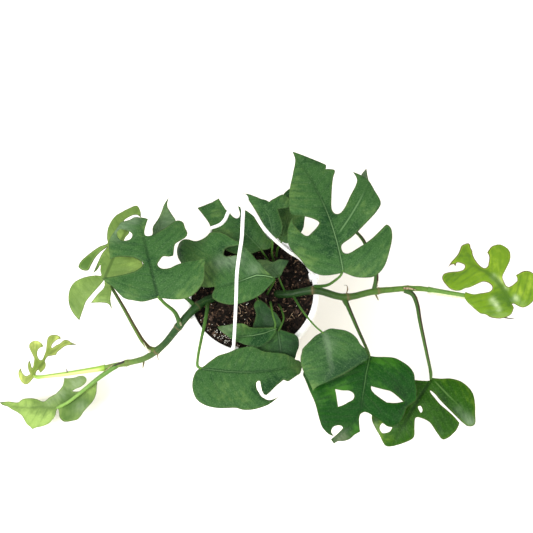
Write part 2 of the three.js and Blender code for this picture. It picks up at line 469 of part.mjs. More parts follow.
// A point of a leaf: u along its midrib, v across it and lift above it, bent to the leaf's own droop,
// sweep, fold and wave, then turned and moved to where the leaf hangs.
const leafPoint = (leaf, u, v, lift) => {
  const size = leaf.size ?? 1;
  const sweep = rad(leaf.sweep ?? 0) / leaf.length;
  const droop = rad(leaf.droop) / leaf.length;
  const across = sweep ? (1 - Math.cos(sweep * u)) / sweep + v * Math.cos(sweep * u) : v;
  const along = sweep ? Math.sin(sweep * u) / sweep - v * Math.sin(sweep * u) : u;
  const ripple = (leaf.wave ?? 0.4) * Math.sin(0.13 * u + 0.4 * Math.sign(v)) * Math.min(1, (v / 30) ** 2);
  const height = Math.abs(v) * Math.tan(rad(leaf.fold ?? 0)) + ripple + lift / size;
  const point = new THREE.Vector3(
    Math.sin(droop * along) / droop + height * Math.sin(droop * along),
    across,
    (Math.cos(droop * along) - 1) / droop + height * Math.cos(droop * along),
  );
  point.multiplyScalar(size);
  point.applyAxisAngle(new THREE.Vector3(0, 1, 0), -rad(leaf.pitch));
  point.applyAxisAngle(new THREE.Vector3(0, 0, 1), rad(leaf.heading));
  return point.add(new THREE.Vector3(...leaf.base));
};

// A thin solid blade. Both faces are split into the same triangles, so the sheet is one thickness.
const blade = (leaf, growth = 0) => {
  const { points, triangles, rings } = pattern(leaf, growth);
  const half = BLADE / 2 + growth;
  const upper = points.map((p) => leafPoint(leaf, p.x, p.y, half).toArray());
  const lower = points.map((p) => leafPoint(leaf, p.x, p.y, -half).toArray());
  const count = points.length;
  const index = triangles.flatMap(([a, b, c]) => [a, b, c, c + count, b + count, a + count]);
  let first = 0;
  for (const ring of rings) {
    for (let i = 0; i < ring.length; i++) {
      const a = first + i;
      const b = first + ((i + 1) % ring.length);
      index.push(a + count, b + count, b, a + count, b, a);
    }
    first += ring.length;
  }
  const geometry = new THREE.BufferGeometry();
  geometry.setAttribute("position", new THREE.Float32BufferAttribute([...upper, ...lower].flat(), 3));
  geometry.setIndex(index);
  return toSolid(geometry);
};

// A leaf stalk, widest at the stem it grows from, ending under the foot of its blade.
const stalkRadius = (leaf) => 1.25 + leaf.length * 0.006;

const stalk = (leaf, growth = 0) => {
  const end = leafPoint(leaf, ...(leaf.foot ?? [1.5, 0]), 0).toArray();
  const path = [...leaf.stalk, end];
  const steps = 3 + 2 * leaf.stalk.length;
  return tube(path, (t) => stalkRadius(leaf) * (1.25 - 0.4 * t) + growth, steps, STALK_SIDES);
};

const vine = (stem, growth = 0) => {
  const swelling = (t) =>
    stem.joints.reduce((sum, at) => sum + 0.7 * Math.exp(-(((t - at) / 0.02) ** 2)), 0);
  const radiusAt = (t) => THREE.MathUtils.lerp(...stem.radii, t) + swelling(t) + growth;
  let solid = tube(stem.path, radiusAt, 44, 8);
  for (const root of stem.roots) {
    solid = solid.add(tube(root, (t) => 1.2 - 0.5 * t + growth, 4, 6));
  }
  return solid;
};

// The pot, its drain holes and the soil in it
const makePot = () => {
  let solid = lathe([
    [0, 0], [BASE_RADIUS - 2, 0], [BASE_RADIUS, 2], [70, POT_HEIGHT - RIM_DEPTH - 1], [RIM_OUTER - 1, 107],
    [RIM_OUTER, 108], [RIM_OUTER, POT_HEIGHT - 1], [RIM_OUTER - 1, POT_HEIGHT],
    [RIM_INNER + 1, POT_HEIGHT], [RIM_INNER, POT_HEIGHT - 1], [RIM_INNER, 109], [70 - WALL, 107],
    [BASE_RADIUS - WALL + 0.2, FLOOR], [0, FLOOR],
  ], 48);
  for (let i = 0; i < DRAIN_HOLES; i++) {
    const angle = (2 * Math.PI * i) / DRAIN_HOLES;
    const hole = new THREE.CylinderGeometry(DRAIN_RADIUS, DRAIN_RADIUS, 10, 10).rotateX(Math.PI / 2);
    solid = solid.subtract(toSolid(
      hole.translate(Math.cos(angle) * DRAIN_RING, Math.sin(angle) * DRAIN_RING, 1),
    ));
  }
  return solid;
};

const makeSoil = (stems) => {
  const foot = BASE_RADIUS - WALL - 0.2 - GAP;
  const shape = turned([
    [0, FLOOR + GAP], [foot - 1, FLOOR + GAP], [foot + 0.5, FLOOR + 3], [foot + 17.4, 106.9],
    [RIM_INNER - 0.35, 109.35], [RIM_INNER - 0.35, SOIL_TOP - 1.2], [RIM_INNER - 2.4, SOIL_TOP],
    [50, SOIL_TOP], [32, SOIL_TOP], [16, SOIL_TOP], [0, SOIL_TOP],
  ], 32);
  const at = shape.attributes.position;
  for (let i = 0; i < at.count; i++) {
    const [x, y, z] = [at.getX(i), at.getY(i), at.getZ(i)];
    const edge = Math.max(0, 1 - Math.hypot(x, y) / 64);
    if (z > SOIL_TOP - 0.5) at.setZ(i, z + edge * 2 * Math.sin(x * 0.11) * Math.cos(y * 0.13) + edge);
  }
  return stems.reduce((soil, stem) => soil.subtract(stem), toSolid(shape));
};

// The hook and its hub, and the strands with their clips
const makeHook = (growth = 0) => {
  const [x, y, z] = HUB_PLACE;
  const hub = lathe([
    [0, -8 - growth], [4, -7 - growth], [HUB_RADIUS + growth, -4], [HUB_RADIUS + growth, 1],
    [4, 5 + growth], [0, 7 + growth],
  ], 16).translate(HUB_PLACE);
  const path = [[x, y, z], [x, y, z + 9]];
  for (let angle = -90; angle <= 200; angle += 29) {
    const rise = z + 31 + HOOK_RADIUS * Math.sin(rad(angle));
    path.push([x + HOOK_RADIUS * Math.cos(rad(angle)), y, rise]);
  }
  return hub.add(tube(path, () => HOOK_WIRE + growth, 30, 8));
};

const makeStrand = (name) => {
  const profile = new THREE.Shape([
    [67.4, 113.2], [69.4, 113.2], [69.4, 118.4], [76.4, 118.4], [76.4, 108], [78.4, 108], [78.4, 119.4],
    [77.4, 120.8], [68.4, 120.8], [67.4, 119.4],
  ].map(([r, z]) => new THREE.Vector2(r, z)));
  const clip = new THREE.ExtrudeGeometry(profile, { depth: 8, bevelEnabled: false });
  clip.rotateX(Math.PI / 2).translate(0, 4, 0);
  const line = tube(STRANDS[name], () => STRAND_RADIUS, 20, 6);
  return line.add(toSolid(clip).rotate([0, 0, CLIP_ANGLES[name]])).subtract(makeHook(GAP));
};

const part = new THREE.Group();
part.name = "potted_mini_monstera";

const addPiece = (name, solid, colour, roughness) => {
  const material = new THREE.MeshStandardMaterial({ color: colour, roughness, metalness: 0 });
  const mesh = new THREE.Mesh(toGeometry(solid), material);
  mesh.name = name;
  part.add(mesh);
};

const planted = [
  ...VINES.map((stem) => vine(stem, GAP)),
  ...LEAVES.filter((leaf) => leaf.from === "soil").map((leaf) => stalk(leaf, GAP)),
];
addPiece("pot", makePot(), WHITE, 0.4);
addPiece("soil", makeSoil(planted), SOIL, 0.95);
addPiece("hanger_hook", makeHook(), WHITE, 0.4);
for (const name of Object.keys(STRANDS)) {
  addPiece(`hanger_strand_${name}`, largest(makeStrand(name)), WHITE, 0.4);
}
for (const stem of VINES) addPiece(stem.name, vine(stem), GREEN, 0.5);
for (const leaf of LEAVES) {
  const stem = VINES.find((each) => each.name === leaf.from);
  let solid = stalk(leaf).subtract(blade(leaf, GAP));
  if (stem) solid = solid.subtract(vine(stem, GAP));
  addPiece(`blade_${leaf.name}`, blade(leaf), leaf.young ? YOUNG : GREEN, 0.45);
  addPiece(`petiole_${leaf.name}`, largest(solid), STALK, 0.5);
}

export default part;
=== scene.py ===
"""Visual model of a potted mini monstera in a white hanging pot, in metres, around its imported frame."""
import logging
import math
import random
from dataclasses import dataclass
from enum import Enum
from functools import reduce
from typing import Callable, Iterable, Optional, Sequence, Union

import bmesh
import bpy
from mathutils import Matrix, Vector, kdtree, noise


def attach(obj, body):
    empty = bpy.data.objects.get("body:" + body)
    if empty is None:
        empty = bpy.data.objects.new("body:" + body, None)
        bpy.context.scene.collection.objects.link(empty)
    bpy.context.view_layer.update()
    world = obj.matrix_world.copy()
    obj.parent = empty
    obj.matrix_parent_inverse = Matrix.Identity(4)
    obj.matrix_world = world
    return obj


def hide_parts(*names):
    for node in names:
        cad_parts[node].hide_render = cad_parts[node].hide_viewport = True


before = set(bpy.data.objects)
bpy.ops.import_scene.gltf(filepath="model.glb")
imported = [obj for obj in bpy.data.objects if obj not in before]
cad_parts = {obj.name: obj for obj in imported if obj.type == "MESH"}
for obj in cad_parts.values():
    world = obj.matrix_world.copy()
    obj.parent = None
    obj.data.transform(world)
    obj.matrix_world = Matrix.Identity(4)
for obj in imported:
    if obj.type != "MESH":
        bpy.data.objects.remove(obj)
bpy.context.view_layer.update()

LOG = logging.getLogger("potted_mini_monstera")
MM = 0.001
WELD = 1e-6  # points nearer than this, in metres, are one point
STREAK_SCALE = 50  # how far a metre along a tube runs in the pattern of its streaks
BLADE_MARKS = (  # the numbers that each point of a blade keeps for its material
    "across", "vein", "edge", "tint_and_painted_light", "bloom_and_sheen", "rib_line", "rib_groove_shade", "rib_band_sheen_and_shade", "lobe", "lobe_line")

Pair = tuple[float, float]
Point2 = tuple[float, ...]
Point3 = tuple[float, float, float]
Point4 = tuple[float, float, float, float]
Colour = tuple[float, float, float]
Socket = bpy.types.NodeSocket


class Tone(Enum):
    """Which green a leaf wears."""

    MID = "mid"
    RICH = "rich"
    DEEP = "deep"
    DIM = "dim"
    PALE = "pale"
    YOUNG = "young"
    NEW = "new"
    GLOSSY = "glossy"


class RibLook(Enum):
    """How a midrib shows: the strengths of its pale line, of the painted shade along its groove, and of its
    wide soft band, painted sheen above zero and painted shade below.
    """

    PALE = (0.55, 0.8, 0.0)
    RAISED = (1.0, 1.0, -0.3)
    CREASE = (0.25, 0.9, -0.15)
    GROOVE = (0.0, 0.9, 0.0)
    # a wide band of painted sheen along the midrib
    SHEEN_BAND = (0.12, 0.0, 0.26)
    FAINT = (0.22, 0.3, 0.0)
    SHADED = (0.0, 0.5, -0.7)


class Root(Enum):
    """What a leaf stalk grows from."""

    SOIL = "soil"
    VINE_LEFT = "vine_left"
    VINE_RIGHT = "vine_right"


@dataclass(frozen=True)
class Leaf:
    """One leaf: where its stalk meets the blade, how it points and bends, and its outline.

    Outline, hole and rib points are (along, across) in millimetres from the foot of the blade, with a
    third value of 1 at a sharp corner. Across is to the left of the way the leaf points. The soft places
    (along, across, reach, amount) of tone and painted light are lighter or darker than the rest: partly the
    leaf's own tone, partly painted light and painted shadow where a lobe is lit or lies in shade. Blooms and
    sheen are waxy grey places and painted highlights. The foot is where the stalk meets the blade, and stout
    is the stalk's thickness. Lobe ribs are the pale veins that run out into a lobe.
    """

    name: str
    base: Point3
    heading: float
    pitch: float
    droop: float
    length: float
    tone: Tone
    root: Root
    stalk: tuple[Point3, ...]
    edge: tuple[Point2, ...]
    holes: tuple[tuple[Point2, ...], ...] = ()
    rib: tuple[Point2, ...] = ((0, 0), (200, 0))
    sweep: float = 0.0
    fold: float = 0.0
    wave: float = 0.4
    size: float = 1.0
    foot: Point2 = (0, 0)
    rib_look: RibLook = RibLook.FAINT
    lobe_ribs: tuple[tuple[Point2, ...], ...] = ()
    stout: float = 0.85
    # soft places of the leaf's own tone, partly painted light and painted shadow where lobes are lit or
    # shaded
    tone_and_painted_light: tuple[Point4, ...] = ()
    # waxy grey bloom, and painted highlights and sheen on glossy parts
    blooms_and_sheen: tuple[Point4, ...] = ()


LEAVES: tuple[Leaf, ...] = (
    Leaf(
        "top_large", base=(100, -21, 195), heading=91, pitch=14, droop=20, length=152, tone=Tone.MID,
        root=Root.VINE_RIGHT, sweep=26, wave=1.2, rib_look=RibLook.PALE, stout=0.55,
        stalk=((71, -7, 128), (84, -14, 146), (92, -18, 167), (97.5, -20.5, 186)),
        lobe_ribs=(((40, -2), (46, -9), (58, -24), (70, -39), (80, -50)),),
        tone_and_painted_light=((109, 24, 14, 0.6), (15, 36, 13, 0.6), (33, 42, 10, 0.5), (0, -14, 11, 0.7),
            (10, -47, 11, 0.6), (50, -44, 11, 0.7), (60, 37, 9, 0.7), (148, 0, 7, 0.5), (28, 9, 13, -0.8),
            (42, -24, 11, -0.6), (52, 10, 15, -1), (66, -6, 9, -0.7), (130, -13, 11, -0.8)),
        edge=((0, 0, 1), (-6, -11), (-8, -20), (-8, -32), (-1, -43), (13, -52), (27, -59), (35, -60),
            (39, -57), (36, -50), (29, -37), (22, -19), (19, -8), (21, -4), (25, -3), (29, -4), (35, -17),
            (44, -33), (55, -53), (60, -58), (74, -57), (86, -56), (94, -51), (100, -45, 1), (91, -45),
            (77, -30), (66, -18), (63, -12), (64, -8), (69, -6), (85, -12), (102, -22), (109, -28),
            (113, -24), (115, -20, 1), (119, -23), (123, -21), (138, -11), (153, -1, 1), (143, 2), (129, 13),
            (110, 27), (89, 36), (82, 36), (74, 25), (64, 14), (60, 12), (52, 22), (49, 29), (55, 34),
            (68, 38), (77, 37, 1), (69, 44), (53, 50), (40, 50), (25, 43), (8, 35), (0, 23), (-1, 8)),
    ),
    Leaf(
        "top_small", base=(118, 49, 168), heading=66, pitch=11, droop=15, length=69, tone=Tone.PALE,
        root=Root.VINE_RIGHT, fold=12, stout=1.0,
        stalk=((138, -17, 122), (141, -4, 135), (136, 14, 150), (130, 29, 160), (121, 43, 164)),
        tone_and_painted_light=((20, -4, 9, -0.4), (50, -6, 9, 0.2), (30, -4, 40, -0.25)),
        edge=((0, 0, 1), (-2, -5), (2, -11), (12, -16), (25, -20), (38, -17), (48, -10), (57, -5), (69, 0, 1),
            (59, 3), (50, 3), (38, 6), (25, 8), (12, 8), (3, 6)),
    ),
    Leaf(
        "left_large", base=(-101, -14, 170), heading=98, pitch=16, droop=25, length=97, tone=Tone.MID,
        root=Root.VINE_LEFT, wave=1, rib_look=RibLook.GROOVE, stout=0.9,
        stalk=((-84, -31, 122), (-87, -22.5, 142), (-95.5, -17, 158)),
        tone_and_painted_light=((35, 48, 9, 0.5), (-4, -26, 11, 0.8), (6, -48, 10, 0.6), (8, 30, 13, 0.7), (62, 40, 8, 0.9),
            (80, 36, 8, 0.7), (84, -5, 8, 0.7), (28, -55, 8, 0.6), (42, 6, 13, -0.5), (72, 16, 9, -0.5),
            (44, -27, 8, -0.8), (26, -12, 9, -0.6), (2, 8, 9, -0.5)),
        blooms_and_sheen=((90, 26, 13, 0.35), (99, 6, 9, 0.3)),
        edge=((0, 0, 1), (-6, -16), (-8, -26), (-7, -36), (-3, -44), (6, -53), (22, -58), (30, -61, 1),
            (31, -43), (31, -30), (29, -19), (31, -11), (36, -8), (41, -12), (44, -16), (42, -22),
            (42, -27, 1), (50, -30), (54, -32), (59, -45), (63, -48), (70, -47), (79, -46), (83, -41),
            (82, -36), (76, -23), (72, -11), (72, -5), (74, -2), (78, -2), (90, -7), (94, -9, 1), (97, -5),
            (101, 5), (99, 11), (98, 21), (94, 25), (83, 36), (77, 39), (69, 40), (56, 41, 1), (57, 35),
            (55, 26), (50, 14), (41, 7), (36, 15), (35, 29), (36, 44), (37, 54, 1), (30, 50), (26, 46),
            (15, 40), (8, 35), (4, 27), (0, 17)),
        holes=(((90, 24), (88, 19), (81, 12), (77, 12), (74, 15), (74, 21), (76, 25), (82, 28), (87, 28)),),
    ),
    Leaf(
        "left_back", base=(-106, 53, 150), heading=69, pitch=9, droop=15, length=65, tone=Tone.MID,
        root=Root.VINE_LEFT, stout=0.85,
        stalk=((-65, -11, 122), (-74, -3, 132), (-90, 7, 140), (-104, 26, 145), (-107, 46, 147)),
        tone_and_painted_light=((49, 2, 8, 0.4), (22, -2, 12, -0.4), (35, -5, 40, 0.25)),
        blooms_and_sheen=((35, -5, 34, 0.24),),
        edge=((0, 0, 1), (-1, -6), (6, -14), (20, -18), (32, -18), (41, -16), (46, -11), (51, -6), (57, -1),
            (68.5, 0.5, 1), (56, 3), (48, 3), (38, 4), (26, 7), (18, 5), (10, 8), (3, 6)),
    ),
    Leaf(
        "left_outer", base=(-162, 24, 150), heading=61, pitch=14, droop=20, length=93, tone=Tone.YOUNG,
        root=Root.VINE_LEFT, rib_look=RibLook.GROOVE, stout=0.95,
        stalk=((-116, -46, 90), (-124, -43.6, 92.5), (-130.1, -36.9, 99), (-135.9, -25.8, 110),
            (-146.9, -1.3, 130), (-156.4, 18, 145)),
        tone_and_painted_light=((5, 31, 12, -1.1), (12, 13, 10, -0.8), (17, 23, 9, -0.5), (4, 32, 8, -0.5),
            (-40, 27, 8, -0.7), (64, 19, 9, -0.3), (52, 0, 8, 1.2), (30, -30, 12, 1), (30, 8, 8, 0.4),
            (-27, 2, 9, 0.7), (-12, 27, 8, 0.7), (-8, -8, 8, -0.2)),
        edge=((0, 0, 1), (-8, -3), (-18, 1), (-30, 5, 1), (-25, -8), (-24, -15), (-28, -21, 1), (-18, -15),
            (-10, -13), (0, -9), (12, -20), (20, -32), (27, -36), (33, -33), (36, -20), (40, -8), (52, -2),
            (60, -4), (66, 1), (71, 8), (78, 5), (84, -1), (83, -8, 1), (90, -4), (95, 3), (87, 11), (80, 16),
            (73, 20), (57, 21), (45, 17), (40, 14), (33, 21), (20, 29), (9, 34), (3, 34), (1, 29), (3, 22),
            (10, 21), (19, 20), (28, 17), (36, 12, 1), (28, 14.5), (15, 15), (2, 15, 1), (8, 12), (14, 11),
            (7, 8), (3, 5), (1, 11), (-3, 19), (-8, 26), (-15, 32), (-23, 34), (-33, 32), (-42, 27),
            (-49, 19), (-53, 11, 1), (-40, 11), (-31, 11), (-22, 8), (-12, 4), (-4, 1)),
    ),
    Leaf(
        "left_tip_curled", base=(-271, -45, 48), heading=25, pitch=35, droop=30, length=65, tone=Tone.NEW,
        root=Root.VINE_LEFT, rib_look=RibLook.GROOVE, stout=1.2,
        stalk=((-184, -46, 50), (-215, -46, 47), (-245, -46, 45), (-268, -45, 45)),
        rib=((0, 0), (20, 4), (40, 8), (68, -1.5)),
        tone_and_painted_light=((54, 18, 8, 0.8), (29, 28, 8, 0.8), (-20, 10, 8, 0.6), (10, 8, 13, -1), (30, 8, 8, -0.6)),
        edge=((1, -1.5, 1), (8, 2), (11, 1.5), (11.5, -3, 1), (15.5, -3), (20.5, -2), (23.5, 1.5), (24, 5),
            (26.5, 6), (30.5, 7), (34.5, 5), (40.5, 2, 1), (43.5, 4), (47.5, 4.5), (52.5, 4.7), (56.5, 4.4),
            (62, 1.7), (68, -1.5, 1), (64, 4), (62, 8.6), (58.7, 11.5), (51, 11), (46, 12), (41, 12),
            (40, 13.3), (41.5, 15), (45, 16.5), (50, 17), (55.5, 15.5, 1), (55.5, 18.5), (53, 22.5),
            (49, 25.5), (45, 26.7), (42, 26), (39, 23), (36, 19), (33, 15), (28.5, 11.5), (22.5, 8.3),
            (19.7, 9.4), (18.6, 13.4), (20, 18.5), (23.5, 21.7), (27.5, 22), (32, 20.5, 1), (32, 23.5),
            (30.5, 28.5), (27.5, 32.5), (22.5, 35), (17.5, 34.8), (15, 32), (14.3, 26.5), (14, 19.6),
            (13, 15.2), (10.3, 13), (6.5, 9), (4, 9), (5, 13), (6, 19, 1), (2, 17), (-1, 12.6), (-2, 7.5),
            (-2, 5, 1), (-9, 7), (-12, 10.5), (-13, 15.5), (-12, 20.5, 1), (-16, 20), (-19.5, 17.5),
            (-21.5, 12), (-21, 6), (-17, 0), (-11.5, -2), (-5.5, -2)),
    ),
    Leaf(
        "left_tip_lower", base=(-196, -60, 42), heading=215, pitch=-9, droop=10, length=127, tone=Tone.YOUNG,
        root=Root.VINE_LEFT, sweep=-70, foot=(56, 4.2), stout=0.9,
        stalk=((-170, -47, 56), (-178, -51, 54.5), (-186, -54.5, 51.5), (-196, -58.8, 47.5),
            (-206.7, -65, 44.5), (-219.6, -72.4, 41.6), (-232.6, -78.9, 37.6)),
        rib=((0, 0), (20, 1), (40, 4), (57, 4), (75, 0), (100, 3), (130, 7)),
        tone_and_painted_light=((36, 5, 13, -0.8), (24, 14, 9, -0.5), (50, 20, 9, -1.1), (45, -5, 9, -0.5),
            (17, -20, 8, -0.6), (12, -1, 9, 0.7), (78, 20, 12, 1), (92, 12, 12, 0.9), (64, 14, 9, 0.8),
            (102, -4, 12, 0.8), (118, 3, 8, 0.5)),
        blooms_and_sheen=((22, -17, 13, 0.45), (50, -13, 9, 0.4), (66, -8, 8, 0.3), (30, 14, 8, 0.3)),
        edge=((0, 0, 1), (3, -4), (10.5, -3.5), (18, -3), (25, -5), (31, -8), (32.5, -9.3, 1), (26.5, -9.5),
            (21, -8.5), (16, -8.5), (10, -10), (8, -12.6), (9, -17.5), (15, -21), (20, -22), (29.5, -25),
            (37.5, -28, 1), (40, -23.5), (43, -20), (48.5, -16.5), (52, -14.5), (56, -12.5), (60.5, -11.5),
            (66, -9.5), (71.5, -6.2), (76, -6.4), (81, -8.6), (87, -9.6), (94.5, -9.3), (103, -6.6),
            (107, -2), (120, 1.3), (126.5, 4.8), (130.5, 7.5, 1), (126, 8.5), (119, 7.5), (111.5, 8.8),
            (104.5, 10), (98.5, 12.6), (94.5, 17), (91, 21.4), (87, 24.2), (84.5, 26.7, 1), (81, 24.7),
            (75, 23.3), (68, 20.8), (64, 17.4), (60.5, 13.7), (58.5, 9.5), (57, 5.5), (55.3, 5.7),
            (54.8, 11.3), (55.2, 15.4), (53.4, 19.7), (50.7, 22.7), (46, 24), (42.5, 24.7), (38, 25.4),
            (34, 23.6), (29, 20), (23, 17.4), (17.3, 15.5), (12.5, 12.9), (7.4, 8.3), (3.9, 3.9), (0.8, 0.8)),
    ),
    Leaf(
        "front_round", base=(72, -71, 158), heading=-88, pitch=0, droop=25, length=61, tone=Tone.MID,
        root=Root.VINE_RIGHT, sweep=-25, rib_look=RibLook.SHEEN_BAND, stout=0.55,
        stalk=((46, -11, 119), (53, -37, 139), (64, -61, 151)),
        rib=((0, 0), (6, 1.5), (20, 4), (31, 5), (39, 8), (48, 6), (67, -6)),
        tone_and_painted_light=((4, -8, 11, -0.8), (18, -18, 10, -0.3), (40, -18, 12, 0.7), (64, -7, 8, 1.4),
            (6, 17, 10, 0.4), (20, 24, 12, 0.3), (38, 30, 11, -1.2), (44, 15, 11, -1.1), (28, 44, 8, -0.6),
            (30, 10, 60, -0.25)),
        blooms_and_sheen=((14, 5, 9, 0.12),),
        edge=((0, 0, 1), (1.5, -4), (4, -9.5), (9, -15), (14, -20), (19, -24), (24, -25), (30, -26),
            (39, -25), (46, -22), (52, -18), (57, -14), (62, -10), (67, -6, 1), (64, -5), (60, -2), (56, 3),
            (52, 9), (48, 14.5), (44, 21), (40, 27), (36, 33), (32, 39), (29, 45), (26, 47), (24, 45),
            (20, 43), (16, 38), (11, 35), (6, 30), (2, 23), (0, 16), (-2, 8)),
    ),
    Leaf(
        "front_holed", base=(119, -99, 140), heading=-105, pitch=-4, droop=25, length=87, tone=Tone.DEEP,
        root=Root.VINE_RIGHT, sweep=-20, wave=1, size=1.025, rib_look=RibLook.PALE, stout=0.85,
        stalk=((103, -26, 125), (111, -64, 133), (118, -94, 137)),
        rib=((0, 0), (20, -1), (42, 1), (57, 4), (68, 3), (100, -9)),
        tone_and_painted_light=((41, -20, 9, 1.2), (50, -27, 8, 1.1), (44, -42, 9, 0.3), (2, 22, 10, 0.8), (0, 12, 8, 0.6),
            (28, 16, 8, 0.6), (2, 4, 8, 0.6), (78, 8, 7, 0.7), (58, -48, 12, 0.3), (30, -4, 10, -0.6),
            (33, 37, 11, -1), (44, 49, 8, -0.6), (52, -9, 8, -0.4)),
        blooms_and_sheen=((94, -2, 10, 0.55),),
        edge=((0, 0, 1), (1, -12), (3, -25), (6.5, -38), (11, -49), (19, -58), (28, -64), (39, -65),
            (44, -62), (50, -58), (56, -54), (61, -50), (67, -45), (73, -40.5), (80, -36), (88, -30),
            (92.5, -25.5), (95, -20), (96, -15), (95, -10, 1), (93, -14), (90, -15.5), (86, -15), (82.5, -12),
            (81, -8), (82, -6), (87.5, -7), (94, -9), (100, -11, 1), (102.5, -6, 1), (98, -4), (95, 1),
            (89.5, 6), (84, 8), (78, 12, 1), (73, 9), (67, 6), (62, 5), (58, 8), (57.5, 13), (58, 16),
            (59, 22), (60.5, 28.5), (62, 34), (61, 39.5), (58, 44), (53, 47), (47, 48), (42, 48), (37, 52),
            (33, 56, 1), (28, 55), (22, 53), (16, 50), (11, 48), (6, 43), (2, 35), (-1, 26), (-1, 17),
            (0, 7)),
        holes=(((31, 7, 1), (31, 13), (31, 20), (31, 28), (33.5, 35), (37, 43, 1), (40, 36), (42, 27, 1),
            (40, 20), (37, 12), (34, 8)), ((45, -28.2, 1), (44, -21), (42, -13), (44, -8), (49, -7),
            (54, -11), (59, -15), (63, -19.2, 1), (57, -22.2), (51, -25.2))),
    ),
    Leaf(
        "right_front", base=(184, -126, 120), heading=-130, pitch=-4, droop=25, length=86, tone=Tone.RICH,
        root=Root.VINE_RIGHT, size=1.03, rib_look=RibLook.GROOVE, stout=0.92,
        stalk=((172, -20, 117), (180, -25.8, 116), (182.8, -37.2, 116.5), (182.6, -59.7, 117.5),
            (183.4, -97.4, 118), (184, -119, 117)),
        lobe_ribs=(((1, 2), (3, 8), (7, 22), (13, 46)),),
        tone_and_painted_light=((79, -20, 11, 0.7), (62, 8, 10, 0.2), (-10, 34, 10, 0.45), (0, 44, 9, 0.3),
            (16, 44, 11, -0.6), (13, 20, 10, -0.8), (28, 33, 9, -0.5), (46, 26, 8, -0.5), (63, -8, 8, -0.5)),
        blooms_and_sheen=((80, -26, 8, 0.4), (20, 58, 6, 0.4), (17, 49, 4.5, 0.22), (14, 40, 4, 0.15)),
        edge=((0, 0, 1), (4, -1), (8, -7), (12, -15), (18, -24), (27, -27), (33, -22), (35, -12), (40, -9),
            (46, -11), (50, -20), (53, -31), (60, -35), (71, -32), (78, -23), (82, -16), (88, -6), (87, -2),
            (78, 7), (66, 15), (62, 15), (53, 10), (45, 7), (42, 15), (42, 22), (47, 33), (50, 42), (45, 46),
            (39, 48), (32, 49), (26, 48, 1), (23, 39), (21.2, 30), (19.7, 21), (17.2, 14), (15, 8), (12.8, 5),
            (13, 10), (15.8, 18), (18.9, 29), (21.5, 39), (24, 49), (25, 56, 1), (23, 60), (19, 62), (8, 56),
            (1, 52), (-9, 43), (-13, 29), (-10, 17), (-4, 8)),
        holes=(((69, -20), (69, -14), (67, -9, 1), (72, -9), (76, -12), (78, -15), (75, -20)), ((34, 3),
            (32, 5), (35, 9), (38, 9))),
    ),
    Leaf(
        "right_tip", base=(282, -60, 140), heading=124, pitch=6, droop=15, length=80, tone=Tone.GLOSSY,
        root=Root.VINE_RIGHT, sweep=26, rib_look=RibLook.SHADED, stout=0.95,
        stalk=((198, -22.6, 117), (211, -27, 118), (237, -37, 122), (262, -48, 128), (278, -57, 135)),
        rib=((0, 0), (15, -4), (29, -9), (43, -11.5), (65, -11.5), (82, 1.5)),
        tone_and_painted_light=((1, 1, 8, -0.8), (16, 4, 10, -1), (72, 8, 9, -0.5), (80, 20, 8, -0.5), (36, 30, 9, -0.4),
            (8, 28, 8, -0.5), (72, -16, 9, -0.3), (3, -16, 7, 0.7), (26, -14, 7, 0.7), (2, -36, 8, 0.8),
            (44, -28, 8, 0.4)),
        # painted highlights on the glossy lobes
        blooms_and_sheen=((11, 14, 3, 0.6), (18, 13, 3.5, 0.5), (5, 16, 3, 0.35), (34, -11, 3, 0.5), (26, -10, 4, 0.4),
            (17, -8, 3, 0.4), (2, -8, 3, 0.5)),
        edge=((0, 0, 1), (-1, -2), (-4, -3), (-7.5, -4.5), (-10.5, -7), (-12, -13), (-11.5, -20.5),
            (-9.5, -27.5), (-6.5, -35), (-1.5, -41.5), (3.5, -43.5), (10, -43), (13.5, -40.5), (16, -36),
            (17, -31.5), (18, -28, 1), (15.5, -26.5), (13.5, -24), (13.5, -20.5), (14, -15.5), (15.5, -11.5),
            (18, -11), (22, -13), (26.5, -16.5), (28, -21), (29, -27), (30, -33), (31, -38), (33, -43),
            (35.5, -47), (39, -49.5), (43, -50), (46.5, -49.5), (49.5, -46.5), (52, -42), (52.5, -37),
            (52.5, -33, 1), (49.5, -30.5), (47.5, -26.5), (46, -22), (45, -18), (46.5, -14.5), (50, -14),
            (55.5, -16), (61, -20), (64, -23.5), (66, -27.5), (68.5, -30), (70.5, -34), (72.5, -35),
            (75, -33), (77.5, -30), (77.5, -24), (77.5, -18), (78.5, -13.5), (79.5, -10), (81, -5.5),
            (82, 1.5, 1), (80, -2.5), (77.5, -4), (75, -2.5, 1), (75, -7), (69, -8), (66.5, -7.5), (65, -5),
            (65.5, -1), (69, 2.5), (74, 5), (80, 8), (84, 11.5), (84.5, 16), (81.5, 20), (75, 24),
            (68.5, 26.5), (62, 26), (57, 23.5), (53, 18.5), (48.5, 14.5), (45, 9), (42, 4), (40, 1),
            (36.5, -1), (33, -1.5), (30, -1), (27.5, 1), (27, 5.5), (30, 10), (34.5, 14.5), (40, 19.5),
            (45.5, 21.5), (50.5, 22.5, 1), (49.5, 26.5), (46, 29.5), (40.5, 31.5), (34, 32.5), (27, 33),
            (18, 33), (12, 30), (6, 29), (1, 26), (-3.5, 22), (-6.5, 17), (-8, 12.5), (-8, 8), (-6, 4),
            (-4, 1)),
    ),
    Leaf(
        "front_left", base=(-65, -91, 145), heading=-13, pitch=2, droop=30, length=118, tone=Tone.MID,
        root=Root.VINE_LEFT, sweep=24, wave=1, rib_look=RibLook.CREASE, stout=0.72,
        stalk=((-51, -3, 115), (-53, -27, 134), (-66, -80, 145), (-67, -88, 143)),
        rib=((0, 0), (30, -2), (60, -3), (90, -2), (115, -2)),
        tone_and_painted_light=((68, -25, 9, -1.7), (84, -15, 9, -0.7), (-2, -12, 8, -0.4), (72, -40, 8, -0.4),
